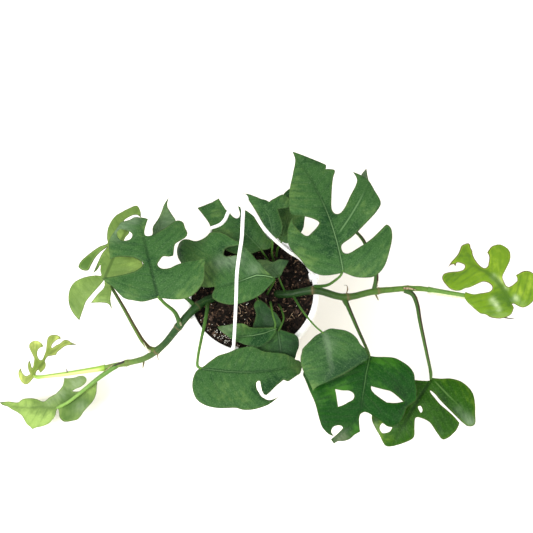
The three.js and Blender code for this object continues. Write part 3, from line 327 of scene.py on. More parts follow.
            (60, 4, 9, -0.4), (109, -4, 9, 1.1), (100, 12, 7, 0.6), (52, -38, 12, 0.35), (28, -30, 14, 0.25),
            (30, 8, 12, 0.3), (14, -8, 8, -0.3)),
        edge=((0, 0, 1), (-3, -3), (-5, -9), (-5.5, -15.5), (-4.5, -22.5), (-2, -29), (1, -34), (5, -37.5),
            (11, -40.5), (17, -42), (24, -42.5), (30, -42), (35, -41.5), (39.5, -41.5), (45, -43.5),
            (50.5, -44), (57, -43.5), (63, -42), (70, -39.5), (75, -36.5), (80, -33), (83, -31, 1),
            (76, -33.8), (70.5, -34.5), (67, -32.5), (64, -30), (62, -25.5), (60.5, -22), (60, -17.5),
            (60.5, -14.5), (63, -12.5), (64.5, -13, 1), (65, -19.5), (65.7, -25), (67, -28, 1), (69, -29),
            (72, -27), (77, -23), (82, -19), (87, -16), (90, -14, 1), (92, -15), (94.5, -16.3), (99.5, -14.5),
            (105, -12), (110, -10), (115, -2, 1), (113, 4), (109, 5.5), (107, 8.5), (103, 11), (99.5, 13.3),
            (92, 15.7), (83.5, 17.5), (75.5, 19), (69.5, 20.7), (65, 23.7), (61, 25.7), (56, 26),
            (48.5, 25.3), (42.5, 24.3), (37.5, 22.5), (31.5, 20), (26, 18), (19.3, 15.5), (14, 11.5),
            (8.6, 7), (4.5, 3)),
    ),
    Leaf(
        "pot_front_left", base=(23, -53, 135), heading=166, pitch=1, droop=25, length=68, tone=Tone.MID,
        root=Root.SOIL, fold=11, size=1.005, rib_look=RibLook.PALE, stout=0.6,
        stalk=((19, -15, 94), (19, -15, 110), (19.3, -16.5, 122), (19.7, -22, 131), (20, -29, 136),
            (20.5, -38, 137), (22, -48, 135.5)),
        rib=((0, 0), (13, 8), (25, 12), (40, 14), (70, 0)),
        tone_and_painted_light=((58, 4, 11, 1), (36, 0, 9, 0.9), (18, 23, 10, -1.5), (16, 10, 10, -0.8)),
        blooms_and_sheen=((58, 3, 11, 0.3),),
        edge=((0, 0, 1), (3, -1), (10, 0), (20, 1), (25.3, 1.5), (30.3, 1), (34, -1), (39.5, -2.5),
            (43.3, -2.5), (50, -2), (57, -0.7), (66, 0), (70.5, 0.5, 1), (65.5, 5.3), (58.5, 10), (51, 15),
            (45, 18.5), (40.7, 20), (37, 21), (31.5, 23), (26.5, 24), (20, 25.5), (12, 23), (5, 15), (1, 6)),
    ),
    Leaf(
        "pot_front_right", base=(24, -53, 131), heading=-89, pitch=-8, droop=35, length=48, tone=Tone.DIM,
        root=Root.SOIL, size=1.008, rib_look=RibLook.PALE, stout=0.6,
        stalk=((28, -16, 94), (28, -16, 110), (31, -27, 120), (31.8, -40, 126.5), (28, -49, 130)),
        tone_and_painted_light=((6, -2, 8, 1), (16, -16, 8, 0.5), (18, 20, 9, -0.8), (28, 8, 9, -0.5)),
        edge=((0, 0, 1), (2, -5), (3, -9.5), (5.5, -14), (9, -19), (12.5, -23), (15, -26), (21, -27),
            (29, -22), (35, -13), (38, -3), (38, 7), (36, 13), (33.5, 14.7), (28, 17), (22.5, 20), (17, 21),
            (12, 20.5), (8.3, 18), (6, 13.5), (3.5, 9), (1.4, 4.3)),
    ),
    Leaf(
        "pot_small", base=(6.1, -13.7, 129), heading=-84, pitch=-7, droop=20, length=40, tone=Tone.DIM,
        root=Root.SOIL, fold=15, stout=0.6,
        stalk=((2, 1, 94), (2, 1, 112), (5, -8.5, 123)),
        tone_and_painted_light=((4, -3, 7, 1.2), (32, 15, 8, 0.4), (20, 8, 8, -0.4), (20, 4, 30, -0.2)),
        edge=((0, 0, 1), (1.7, -2.5), (4, -5), (7.5, -6.5), (11.7, -6), (16.5, -6), (20, -7.5), (24.7, -10),
            (28.5, -12.5), (33, -12), (38, -6), (41, 4), (41, 12), (38, 18), (36, 18.7), (32, 19.5),
            (27.3, 18.8), (24, 17.5), (20.8, 16.5), (17, 13.2), (13.8, 11), (11, 9.2), (7.2, 7.5), (4.3, 4.8),
            (1.3, 2)),
    ),
    Leaf(
        "pot_middle", base=(28, -3, 160), heading=180, pitch=7, droop=30, length=71, tone=Tone.MID,
        root=Root.SOIL, wave=1, rib_look=RibLook.RAISED, stout=0.6,
        stalk=((17, -3, 94), (17, -3, 112), (20, -5, 130), (27, -3, 154)),
        rib=((0, 0), (10, -3), (20, -5), (30, -3), (45, 0), (73, 0)),
        tone_and_painted_light=((82, -20, 12, 1.1), (84, -40, 9, 0.5), (70, -26, 9, 0.6), (76, -4, 8, 0.5), (9, -8, 9, 1.1),
            (116, -56, 10, -1.6), (54, -44, 11, -0.9), (32, -40, 8, -0.5), (46, -24, 10, -0.6),
            (20, 8, 10, -0.3)),
        blooms_and_sheen=((43, -30, 11, 0.4), (60, -28, 8, 0.3), (22, -12, 9, 0.25)),
        edge=((0, 0, 1), (2.5, -2), (9.5, -10), (14, -18.5), (18, -23), (23, -32), (27.5, -39), (30.5, -43),
            (35, -49), (38.5, -51.5), (44, -56), (50.5, -62), (58.5, -66), (63.5, -67.5), (68.5, -67.5),
            (71.5, -65.5), (76, -64), (84, -63.5), (90.5, -65), (99, -70), (106, -72), (112, -70.5),
            (116.5, -66), (118, -60), (116.5, -53.5), (113, -46.5), (106, -35.5), (101, -26), (96, -16),
            (89.5, -9), (81.5, -4.5), (73, -2.5), (70, -2, 1), (70, 1), (73, 4.5), (73.5, 10), (69, 15.5),
            (62, 20), (54, 23.5), (45.5, 24.7), (37.5, 24), (30, 22.5), (23.5, 20.5), (16.5, 17), (10, 11.5),
            (4.5, 6.5), (0.3, 1.5)),
        holes=(((36, -44.5), (34, -38.5), (36.5, -33.5), (42.5, -33.5), (47.5, -33.7), (52, -34.5),
            (54.5, -37), (54, -40), (52, -43.5), (48, -45), (42.5, -45)),),
    ),
    Leaf(
        "pot_back", base=(30, 41, 165), heading=112, pitch=14, droop=15, length=62, tone=Tone.MID,
        root=Root.SOIL, fold=10, stout=0.6,
        stalk=((29, 37, 94), (29, 37, 112), (28, 36, 140), (30, 39, 160)),
        rib=((0, 0), (10, -5), (25, -9), (45, -6), (62, 0)),
        tone_and_painted_light=((0, -9, 9, -0.5), (28, -34, 8, 0.9), (43, 0, 7, 0.7), (20, 0, 8, -0.5), (46, -14, 8, -0.5),
            (30, -8, 30, -0.25)),
        edge=((0, 0, 1), (-2, -8.5), (3, -15), (8, -17.8), (17, -20), (26, -21.3, 1), (24.8, -26), (22, -33),
            (25, -37.5), (32, -38.5), (35.7, -36.4), (38.7, -34.7), (39.5, -31), (39.4, -25.7), (39.6, -21),
            (39, -17.4, 1), (43.5, -14.8), (47, -11.5), (51.5, -8.6), (55, -6), (60, -2.4), (63.5, 1.2, 1),
            (50, 0.8), (40.5, 0.5), (35, 0.5), (28.5, 0.5), (20, 1), (9.5, 1.5), (3.8, 1.5)),
    ),
    Leaf(
        "pot_back_left", base=(17, 43, 134), heading=128, pitch=16, droop=20, length=79, tone=Tone.MID,
        root=Root.SOIL, fold=6, size=1.016, stout=0.6,
        stalk=((23, 38, 94), (23, 38, 112), (18.5, 41, 129)),
        tone_and_painted_light=((52, 24, 8, 0.7), (42, 16, 9, 0.5), (66, 6, 9, 0.8), (2, -12, 8, 0.4), (16, 24, 8, -0.7),
            (22, 2, 9, -0.9), (43, -10, 8, -0.8), (84, 10, 8, -0.6)),
        edge=((0, 0, 1), (-4.6, -7.4), (-4.8, -11.2), (0, -15), (8.6, -15.7), (19.5, -17.4), (29, -19.5),
            (34, -20.7), (40.3, -20.3), (46.6, -19), (49.7, -16), (53.5, -17.8), (59, -18.8, 1),
            (52.7, -14.8), (47.8, -12), (45.5, -8.3), (46.7, -5), (53, -3.8), (57.2, -4.5), (62, -4),
            (71, -6), (79.4, -8.5, 1), (83.3, 3.4), (88, 16.7, 1), (75, 18.8), (64.4, 21), (57, 24, 1),
            (50.5, 27.7), (41.4, 30), (30, 31.5), (26, 30), (20, 27.6), (13.4, 24), (7.7, 16.3), (4.4, 10.5),
            (2.5, 5.4)),
    ),
    Leaf(
        "pot_back_right", base=(40, 44, 150), heading=68, pitch=13, droop=15, length=69, tone=Tone.MID,
        root=Root.SOIL, stout=0.6,
        stalk=((33, 43, 94), (33, 43, 112), (35, 44, 130), (39, 43, 145)),
        tone_and_painted_light=((30, 5, 22, 0.6), (56, 7, 8, -1), (20, -19, 8, -1.2), (34, 12, 9, -0.6)),
        edge=((0, 0, 1), (-1, -6), (3, -12), (9, -17), (16, -19.3), (22, -20.3), (28, -19.5), (38, -18),
            (50, -13), (60, -5), (66, 2), (63, 8, 1), (57, 11.5), (46, 13), (34, 14), (22, 12), (12, 9),
            (5, 6), (1, 3)),
    ),
    Leaf(
        "pot_centre", base=(33, 6, 140), heading=123, pitch=1, droop=10, length=30, tone=Tone.MID,
        root=Root.VINE_RIGHT, fold=10, stout=0.6,
        stalk=((38, -7, 117), (35.5, -2, 126), (33, 3, 135)),
        tone_and_painted_light=((26, 2, 9, 0.9), (12, 5, 8, 0.2), (8, -16, 7, -1)),
        blooms_and_sheen=((14, 2, 18, 0.15),),
        edge=((0, 0, 1), (0, -2.5), (2.5, -7.9), (4.2, -12.7), (5.5, -16.6), (7.1, -19.7, 1), (12, -15.9),
            (15.6, -13), (17, -9.3), (18.7, -5.6), (21.3, -3.8), (25.6, -2.4), (28.3, 0.3), (32, 5), (33, 10),
            (27, 14), (18, 15), (9, 12), (3, 7), (0.5, 2)),
    ),
)


@dataclass(frozen=True)
class Stem:
    """A trailing stem: its path and radii in millimetres, joints as shares of its length, and roots."""

    name: str
    radii: Pair
    joints: tuple[float, ...]
    path: tuple[Point3, ...]
    roots: tuple[tuple[Point3, ...], ...]
    fine_roots: tuple[tuple[Point3, ...], ...]
    scars: tuple[float, ...]


STEMS: tuple[Stem, ...] = (
    Stem(
        "vine_right", radii=(5, 2.8), joints=(0.31, 0.51, 0.69, 0.865), scars=(0.32, 0.52, 0.7, 0.87),
        path=(
            (27, 3, 94), (29, -4, 111.5), (45, -9, 120), (71, -11, 127), (103, -23, 126), (138, -19, 122),
            (183, -19, 116), (201, -23.5, 117.2),
        ),
        roots=(((100, -24, 124), (103, -31, 121), (108, -34, 114)), ((138, -20, 120), (141, -27, 114))),
        fine_roots=(((105, -21, 129), (107, -16, 132), (106.5, -12.5, 134), (103.5, -12.5, 135.5)),),
    ),
    Stem(
        "vine_left", radii=(5, 3), joints=(0.21, 0.37, 0.59, 0.84), scars=(0.6, 0.82, 0.88, 0.95),
        path=(
            (-41, 3, 94), (-47, 0, 113), (-60, -8.5, 121), (-72, -19, 125), (-86, -31, 120),
            (-105, -42, 100), (-119, -47, 88), (-134, -49, 75), (-159, -47, 60), (-186, -46, 50),
        ),
        roots=(((-134, -50, 74), (-137, -58, 68)),),
        fine_roots=(((-116, -49, 88), (-116.5, -54, 85), (-115, -56.5, 83)),),
    ),
)


@dataclass(frozen=True)
class Strand:
    """One strand of the hanger: its path in millimetres, and the heading of its clip in degrees."""

    name: str
    heading: float
    path: tuple[Point3, ...]


STRANDS: tuple[Strand, ...] = (
    Strand("front", -112, (
        (4, 0.4, 342), (4.3, 2.6, 322), (2.6, 1.2, 305), (-1, -4.7, 276), (-6, -11.3, 251), (-11, -21, 228),
        (-16, -36, 194), (-22.7, -56.1, 154), (-26.2, -64.9, 132), (-27.2, -67.2, 119.6),
    )),
    Strand("right", 8, (
        (8, 3.4, 342), (11.5, 4.6, 322), (15.9, 4.8, 303), (21.5, 4.2, 277), (30.4, 5.3, 245),
        (39.5, 6.2, 219), (47.6, 7.2, 198), (56, 10.2, 176), (64.6, 12.2, 148), (71.3, 10, 119.6),
    )),
    Strand("left", 121, (
        (2.2, 5.5, 342), (-4.5, 9.5, 322), (-10.4, 14, 300), (-15.5, 23.5, 266), (-22, 36, 230),
        (-30, 51, 194), (-35.5, 62.5, 168), (-38, 69, 151), (-39, 67.5, 138), (-37.3, 62.1, 119.6),
    )),
)


def spline_point(before: Vector, here: Vector, after: Vector, beyond: Vector, share: float) -> Vector:
    """A point between here and after on a smooth curve through four points.

    Args:
        before: The point before here.
        here: The point the stretch starts at.
        after: The point the stretch ends at.
        beyond: The point beyond after.
        share: How far along the stretch the point lies, from 0 to 1.

    Returns:
        The point on the curve, spaced by the square root of the distances so it never loops.
    """
    gap0, gap1, gap2 = (max((b - a).length, 1e-6) ** 0.5
                        for a, b in ((before, here), (here, after), (after, beyond)))
    leave = ((here - before) / gap0 - (after - before) / (gap0 + gap1) + (after - here) / gap1) * gap1
    arrive = ((after - here) / gap1 - (beyond - here) / (gap1 + gap2) + (beyond - after) / gap2) * gap1
    t, t2, t3 = share, share ** 2, share ** 3
    return (here * (2 * t3 - 3 * t2 + 1) + leave * (t3 - 2 * t2 + t)
            + after * (3 * t2 - 2 * t3) + arrive * (t3 - t2))


def smooth_ring(points: Sequence[Point2], step: float) -> list[Vector]:
    """A closed smooth line through outline points that keeps the marked corners sharp.

    Args:
        points: The outline, with a third value of 1 at a corner.
        step: The rough distance between the points of the result.

    Returns:
        The points of the line, in order.
    """
    flat = [Vector((p[0], p[1], 0)) for p in points]
    corner = [len(p) > 2 for p in points]
    count = len(points)
    ring: list[Vector] = []
    for i in range(count):
        here, after = flat[i], flat[(i + 1) % count]
        before = 2 * here - after if corner[i] else flat[i - 1]
        beyond = 2 * after - here if corner[(i + 1) % count] else flat[(i + 2) % count]
        steps = max(1, round((after - here).length / step))
        ring += [spline_point(before, here, after, beyond, k / steps) for k in range(steps)]
    return ring


def smooth_path(points: Sequence[Point3], step: float, fineness: int = 24) -> list[Vector]:
    """An open smooth line through points in millimetres, evenly spaced.

    Args:
        points: The points it passes.
        step: The distance between the points of the result, in millimetres.
        fineness: How many bits each stretch is measured in.

    Returns:
        The points of the line in metres.
    """
    knots = [Vector(p) for p in points]
    knots = [2 * knots[0] - knots[1], *knots, 2 * knots[-1] - knots[-2]]
    dense = [spline_point(*knots[i - 1:i + 3], k / fineness)
             for i in range(1, len(knots) - 2) for k in range(fineness)]
    dense.append(knots[-2])
    lengths = [0.0]
    for a, b in zip(dense, dense[1:]):
        lengths.append(lengths[-1] + (b - a).length)
    count = max(2, round(lengths[-1] / step))
    line: list[Vector] = []
    at = 0
    for k in range(count + 1):
        wanted = lengths[-1] * k / count
        while at < len(dense) - 2 and lengths[at + 1] < wanted:
            at += 1
        share = (wanted - lengths[at]) / max(lengths[at + 1] - lengths[at], 1e-9)
        line.append(dense[at].lerp(dense[at + 1], min(max(share, 0), 1)) * MM)
    return line


def fade(value: float, low: float, high: float) -> float:
    """A smooth step from 0 at low to 1 at high."""
    share = min(max((value - low) / (high - low), 0), 1)
    return share * share * (3 - 2 * share)


def peak(value: float, at: float, width: float) -> float:
    """A smooth peak that is 1 where the value is at, and falls off over width."""
    return math.exp(-((value - at) / width) ** 2)


def between(points: Sequence[Point2], along: float) -> float:
    """Reads a line off a list of pairs.

    Args:
        points: The pairs, by rising first value.
        along: The first value to read at.

    Returns:
        The second value there.
    """
    for (a, low), (b, high) in zip(points, points[1:]):
        if along <= b:
            return low + (high - low) * max(along - a, 0) / (b - a)
    return points[-1][1]


def turned(point: Vector, axis: str, degrees: float) -> Vector:
    """A point turned about a main axis."""
    return Matrix.Rotation(math.radians(degrees), 3, axis) @ point


def shaded(colour: Colour, share: float) -> Colour:
    """A colour made darker, to a share of itself."""
    return tuple(share * value for value in colour)


class Nodes:
    """The node tree of one material, with short ways to add and join its nodes."""

    def __init__(self, name: str) -> None:
        """Starts an empty material.

        Args:
            name: The material's name.
        """
        self.material = bpy.data.materials.new(name)
        self.material.use_nodes = True
        self.tree = self.material.node_tree
        self.shader = self.tree.nodes["Principled BSDF"]

    def add(self, kind: str, /, **settings: object) -> bpy.types.Node:
        """Adds a node.

        Args:
            kind: The node's type.
            settings: Its properties, or the values or sockets of its inputs.

        Returns:
            The node.
        """
        node = self.tree.nodes.new(kind)
        for key, value in settings.items():
            if hasattr(node, key):
                setattr(node, key, value)
            else:
                self.feed(node.inputs[key], value)
        return node

    def feed(self, socket: Socket, value: object) -> None:
        """Joins or sets an input socket.

        Args:
            socket: The input.
            value: The socket it is joined to, or the value it is set to.
        """
        if isinstance(value, Socket):
            self.tree.links.new(value, socket)
        elif isinstance(value, tuple) and socket.type == "RGBA":
            socket.default_value = (*value, 1)
        else:
            socket.default_value = value

    def sums(self, operation: str, *numbers: object) -> Socket:
        """A sum worked out per point of the surface.

        Args:
            operation: The operation's name.
            numbers: Its numbers or sockets.

        Returns:
            The result's socket.
        """
        node = self.add("ShaderNodeMath", operation=operation)
        for socket, value in zip(node.inputs, numbers):
            self.feed(socket, value)
        return node.outputs[0]

    def times(self, *numbers: object) -> Socket:
        """The product of numbers or sockets."""
        return reduce(lambda a, b: self.sums("MULTIPLY", a, b), numbers)

    def plus(self, *numbers: object) -> Socket:
        """The total of numbers or sockets."""
        return reduce(lambda a, b: self.sums("ADD", a, b), numbers)

    def band(self, value: object, low: float, high: float, out_low: float = 0.0,
             out_high: float = 1.0) -> Socket:
        """A smooth change with a value.

        Args:
            value: The number or socket that is read.
            low: Where the change starts.
            high: Where it ends.
            out_low: The result at low.
            out_high: The result at high.

        Returns:
            The result's socket.
        """
        node = self.add("ShaderNodeMapRange", interpolation_type="SMOOTHSTEP")
        for socket, given in zip(node.inputs, (value, low, high, out_low, out_high)):
            self.feed(socket, given)
        return node.outputs[0]

    def blend(self, share: object, first: object, second: object) -> Socket:
        """A mix of two colours.

        Args:
            share: How much of the second is taken, from 0 to 1.
            first: The first colour or socket.
            second: The second.

        Returns:
            The mix's socket.
        """
        node = self.add("ShaderNodeMix", data_type="RGBA")
        for place, value in ((0, share), (6, first), (7, second)):
            self.feed(node.inputs[place], value)
        return node.outputs[2]

    def mark(self, name: str) -> Socket:
        """A number kept on the piece's own points."""
        return self.add("ShaderNodeAttribute", attribute_name=name).outputs["Fac"]

    def place(self) -> Socket:
        """The place of the point, in metres."""
        return self.add("ShaderNodeTexCoord").outputs["Object"]

    def cloud(self, scale: float, detail: float = 2.0, where: Optional[Socket] = None) -> Socket:
        """Soft noise from 0 to 1.

        Args:
            scale: Its scale, in features a metre.
            detail: How many finer layers it has.
            where: Where it is read, the point's own place if nothing is given.

        Returns:
            The noise's socket.
        """
        node = self.add("ShaderNodeTexNoise", Vector=where or self.place(), Scale=scale, Detail=detail)
        return node.outputs["Fac"]

    def cells(self, scale: float, output: str = "Distance", feature: str = "F1") -> Socket:
        """A cell pattern.

        Args:
            scale: Its scale, in cells a metre.
            output: Which output is read.
            feature: What is measured in each cell.

        Returns:
            The pattern's socket.
        """
        node = self.add("ShaderNodeTexVoronoi", feature=feature, Vector=self.place(), Scale=scale)
        return node.outputs[output]

    def bump(self, height: Socket, depth: float, strength: float) -> None:
        """Raises the surface's shading by height, over depth in metres."""
        node = self.add("ShaderNodeBump", Strength=strength, Distance=depth, Height=height)
        self.feed(self.shader.inputs["Normal"], node.outputs["Normal"])

    def finish(self, **inputs: object) -> bpy.types.Material:
        """Sets the shader's inputs.

        Args:
            inputs: Values or sockets, by input name with _ for a space.

        Returns:
            The material.
        """
        for key, value in inputs.items():
            self.feed(self.shader.inputs[key.replace("_", " ")], value)
        return self.material


@dataclass(frozen=True)
class LeafFinish:
    """A waxy leaf surface: its dark, main and light greens, its veins with painted shade in their furrows,
    its grey bloom with painted sheen and highlights, and its gloss.
    """

    name: str
    dark: Colour
    main: Colour
    light: Colour
    vein: Colour
    # the waxy grey bloom, also the colour of painted sheen and painted highlights
    bloom_and_sheen: Colour = (0.25, 0.33, 0.22)
    margin: Colour = (0.05, 0.065, 0.02)
    speck: Colour = (0.30, 0.38, 0.24)
    margin_share: float = 0.45
    line_share: float = 0.2
    roughness: float = 0.40
    shine: float = 0.08
    coat: float = 0.0
    specks: float = 0.22
    variation: float = 0.22
    # how strongly painted shade darkens the furrows along the side veins
    furrow_shade: float = 1.0

    def build(self, underside: bool = False) -> bpy.types.Material:
        """Makes the material.

        Args:
            underside: True for the paler lower face.

        Returns:
            The material.
        """
        n = Nodes(f"{self.name}_{'underside' if underside else 'upper'}")
        across = n.sums("ABSOLUTE", n.mark("across"))
        lengthwise = n.add("ShaderNodeCombineXYZ", X=n.mark("vein"), Y=n.times(n.mark("across"), 0.05))
        streak = n.cloud(2.4, 3, lengthwise.outputs[0])
        away = n.sums("ABSOLUTE", n.sums("SUBTRACT", n.sums("FRACT", n.mark("vein")), 0.5))
        line = n.times(n.band(away, 0.008, 0.035, 1, 0), n.band(n.mark("edge"), 0.4, 5),
                       n.band(across, 35, 8, 0.1, 0.8))
        net = n.band(n.cells(420, "Distance", "DISTANCE_TO_EDGE"), 0.03, 0.12, 1, 0)
        colour = self._greens(n, streak)
        # painted shade in the furrows along the side veins
        vein_furrow_shade = n.times(n.band(away, 0.0, 0.26, 1, 0), n.band(across, 0.6, 4),
                         n.band(n.cloud(45, 2), 0.38, 0.62, 0.12 * self.furrow_shade, 0.5 * self.furrow_shade))
        colour = n.blend(vein_furrow_shade, colour, self.dark)
        colour = n.blend(n.times(line, self.line_share), colour, self.vein)
        colour = n.blend(n.times(net, 0.08), colour, self.vein)
        # waxy grey bloom and painted highlights, where the blade's bloom marks say
        colour = n.blend(n.times(n.mark("bloom_and_sheen"), n.band(streak, 0.35, 0.65, 0.7, 1.15)), colour, self.bloom_and_sheen)
        colour = self._margin(n, self._flecks(n, self._lobe_ribs(n, self._midrib(n, across, colour))))
        if underside:
            colour = n.blend(0.5, colour, tuple(0.6 * v + 0.06 for v in self.light))
        n.bump(n.plus(n.times(n.cloud(900, 3), 0.5), n.times(net, -0.35), n.times(line, -0.7)), 0.00035, 0.5)
        rough = n.band(n.cloud(60, 4), 0.35, 0.65, self.roughness - 0.09, self.roughness + 0.12)
        return n.finish(Base_Color=colour, Roughness=rough, Coat_Weight=self.coat, Coat_Roughness=0.18,
                        Specular_IOR_Level=self.shine)

    def _greens(self, n: Nodes, streak: Socket) -> Socket:
        """Mixes the three greens by the leaf's own tone with its painted light and shade, and by soft random
        patches.

        Args:
            n: The material being made.
            streak: Noise that follows the side veins.

        Returns:
            The colour.
        """
        most = self.variation
        drift = n.plus(n.band(n.cloud(32, 3), 0.34, 0.66, -most, most), n.band(streak, 0.3, 0.7, -most, most),
                       n.band(n.cloud(150, 3), 0.35, 0.65, -0.15, 0.15))
        tint_and_painted_light = n.plus(n.mark("tint_and_painted_light"), drift)
        colour = n.blend(n.band(tint_and_painted_light, 0, 1.1), self.main, self.light)
        return n.blend(n.band(n.times(tint_and_painted_light, -1), 0, 1.0), colour, self.dark)

    def _midrib(self, n: Nodes, across: Socket, colour: Socket) -> Socket:
        """Draws the midrib: painted shade along its groove, a thin pale line, and a wide soft band
        that is painted sheen where its strength is above zero and painted shade where it is below.

        Args:
            n: The material being made.
            across: The distance to the midrib, in millimetres.
            colour: The leaf's colour so far.

        Returns:
            The colour with the midrib.
        """
        # painted shade along the midrib's groove
        groove = n.times(n.band(across, 0.7, 2.8, 1, 0), n.mark("rib_groove_shade"), 0.75)
        colour = n.blend(groove, colour, shaded(self.dark, 0.6))
        # the soft band: painted sheen where above zero, painted shade where below
        band = n.times(n.band(across, 1.0, 6.5, 1, 0), n.mark("rib_band_sheen_and_shade"))
        colour = n.blend(n.band(band, 0, 1), colour, self.bloom_and_sheen)
        colour = n.blend(n.band(n.times(band, -1), 0, 1), colour, self.dark)
        line = n.times(n.band(across, 0.3, 0.75, 1, 0), n.mark("rib_line"))
        return n.blend(line, colour, self.vein)

    def _lobe_ribs(self, n: Nodes, colour: Socket) -> Socket:
        """Draws the veins of the lobes: each a thin pale line with painted shade along its groove.

        Args:
            n: The material being made.
            colour: The leaf's colour so far.

        Returns:
            The colour with the veins.
        """
        aside = n.sums("ABSOLUTE", n.mark("lobe"))
        strength = n.mark("lobe_line")
        # painted shade along the lobe vein's groove
        colour = n.blend(n.times(n.band(aside, 0.8, 3.2, 0.45, 0), strength), colour, self.dark)
        return n.blend(n.times(n.band(aside, 0.3, 1.3, 0.5, 0), strength), colour, self.vein)

    def _flecks(self, n: Nodes, colour: Socket) -> Socket:
        """Adds the pale specks and the fine mottling.

        Args:
            n: The material being made.
            colour: The leaf's colour so far.

        Returns:
            The colour with its flecks.
        """
        dots, some = n.band(n.cells(330), 0.07, 0.13, 1, 0), n.band(n.cloud(60, 2), 0.45, 0.6)
        colour = n.blend(n.times(dots, some, self.specks), colour, self.speck)
        return n.blend(n.times(n.band(n.cloud(620, 2), 0.5, 0.72), 0.16), colour, self.vein)

    def _margin(self, n: Nodes, colour: Socket) -> Socket:
        """Draws the patchy margin: a painted highlight just inside a darker edge.

        Args:
            n: The material being made.
            colour: The leaf's colour so far.

        Returns:
            The colour with its margin.
        """
        edge = n.mark("edge")
        patchy = n.band(n.cloud(26, 2), 0.4, 0.6, 0.25, 1)
        # a pale painted highlight just inside the edge
        edge_highlight = n.times(n.band(edge, 0.6, 1.2), n.band(edge, 1.4, 2.4, 1, 0), patchy, 0.3)
        colour = n.blend(edge_highlight, colour, self.light)
        return n.blend(n.times(n.band(edge, 0.4, 1.2, 1, 0), patchy, self.margin_share), colour, self.margin)


@dataclass(frozen=True)
class StalkFinish:
    """A smooth stem skin, from the colour at its foot to the colour at its tip.

    It turns from one to the other between two shares of its length. One side may be flushed: a real brown on
    older stalks, a pale painted highlight on the young stalk.
    """

    name: str
    foot: Colour
    tip: Colour
    streak: Colour
    scar: Colour = (0.13, 0.085, 0.04)
    pore: Colour = (0.30, 0.34, 0.20)
    streaks: float = 0.35
    roughness: float = 0.45
    turn: Pair = (0.05, 0.85)
    # one side's colour: a real brown flush, and on the young stalk a pale painted highlight
    flush_and_sheen: Colour = (0.0, 0.0, 0.0)
    flush_side: Point3 = (0.0, 0.0, 1.0)
    flush_share: float = 0.0

    def build(self) -> bpy.types.Material:
        """Makes the material.

        Returns:
            The material.
        """
        n = Nodes(self.name)
        stretched = n.add("ShaderNodeCombineXYZ", X=n.mark("along"), Y=n.mark("around"))
        lines = n.cloud(3.2, 4, stretched.outputs[0])
        colour = n.blend(n.band(n.mark("share"), *self.turn), self.foot, self.tip)
        colour = n.blend(n.times(n.band(lines, 0.5, 0.75), self.streaks), colour, self.streak)
        mottled = n.times(n.band(n.cloud(260, 3), 0.45, 0.75), 0.35)
        colour = n.blend(mottled, colour, shaded(self.foot, 0.6))
        if self.flush_share:
            colour = n.blend(self._flushed(n), colour, self.flush_and_sheen)
        colour = n.blend(n.mark("scar"), colour, self.scar)
        colour = n.blend(n.times(n.band(n.cells(520), 0.08, 0.16, 1, 0), 0.25), colour, self.pore)
        n.bump(n.plus(n.cloud(700, 3), lines), 0.0003, 0.6)
        return n.finish(Base_Color=colour, Roughness=self.roughness, Specular_IOR_Level=0.18)

    def _flushed(self, n: Nodes) -> Socket:
        """How strongly the skin's side colour shows, by the way it faces and the place along its length.

        Args:
            n: The material being made.

        Returns:
            The strength's socket.
        """
        toward = n.add("ShaderNodeVectorMath", operation="DOT_PRODUCT")
        n.feed(toward.inputs[0], n.add("ShaderNodeNewGeometry").outputs["Normal"])
        n.feed(toward.inputs[1], self.flush_side)
        side = n.band(toward.outputs["Value"], 0.2, 0.7, 0, self.flush_share)
        middle = n.times(n.band(n.mark("share"), 0.02, 0.12), n.band(n.mark("share"), 0.72, 0.95, 1, 0))
        return n.times(side, middle)


@dataclass(frozen=True)
class PlasticFinish:
    """Moulded white plastic with a fine satin grain and a little dust."""

    name: str
    colour: Colour = (0.92, 0.92, 0.90)
    dust: Colour = (0.55, 0.50, 0.40)
    roughness: float = 0.38

    def build(self) -> bpy.types.Material:
        """Makes the material.

        Returns:
            The material.
        """
        n = Nodes(self.name)
        shade = n.blend(n.band(n.cloud(30, 3), 0.35, 0.75, 0, 0.5), self.colour, shaded(self.colour, 0.94))
        shade = n.blend(n.times(n.band(n.cloud(240, 5), 0.62, 0.82), 0.12), shade, self.dust)
        n.bump(n.cloud(1400, 2), 0.00008, 0.5)
        rough = n.band(n.cloud(90, 3), 0.3, 0.7, self.roughness - 0.05, self.roughness + 0.08)
        return n.finish(Base_Color=shade, Roughness=rough, Specular_IOR_Level=0.5)


@dataclass(frozen=True)
class SoilFinish:
    """Dark damp soil and bark, each cell its own brown."""

    name: str
    dark: Colour = (0.004, 0.003, 0.002)
    bark: Colour = (0.020, 0.013, 0.009)
    light: Colour = (0.16, 0.10, 0.07)
    cell: float = 210.0

    def build(self) -> bpy.types.Material:
        """Makes the material.

        Returns:
            The material.
        """
        n = Nodes(self.name)
        split = n.add("ShaderNodeSeparateColor", Color=n.cells(self.cell, "Color"))
        colour = n.blend(n.band(split.outputs[0], 0.25, 0.9), self.dark, self.bark)
        pale = n.times(n.band(split.outputs[1], 0.82, 0.95), n.band(n.cloud(400, 4), 0.35, 0.65))
        colour = n.blend(pale, colour, self.light)
        colour = n.blend(n.band(n.cloud(900, 5), 0.45, 0.75, 0, 0.6), colour, self.dark)
        n.bump(n.plus(n.cells(self.cell), n.cloud(700, 5)), 0.0022, 1.0)
        return n.finish(Base_Color=colour, Roughness=0.85, Specular_IOR_Level=0.12)


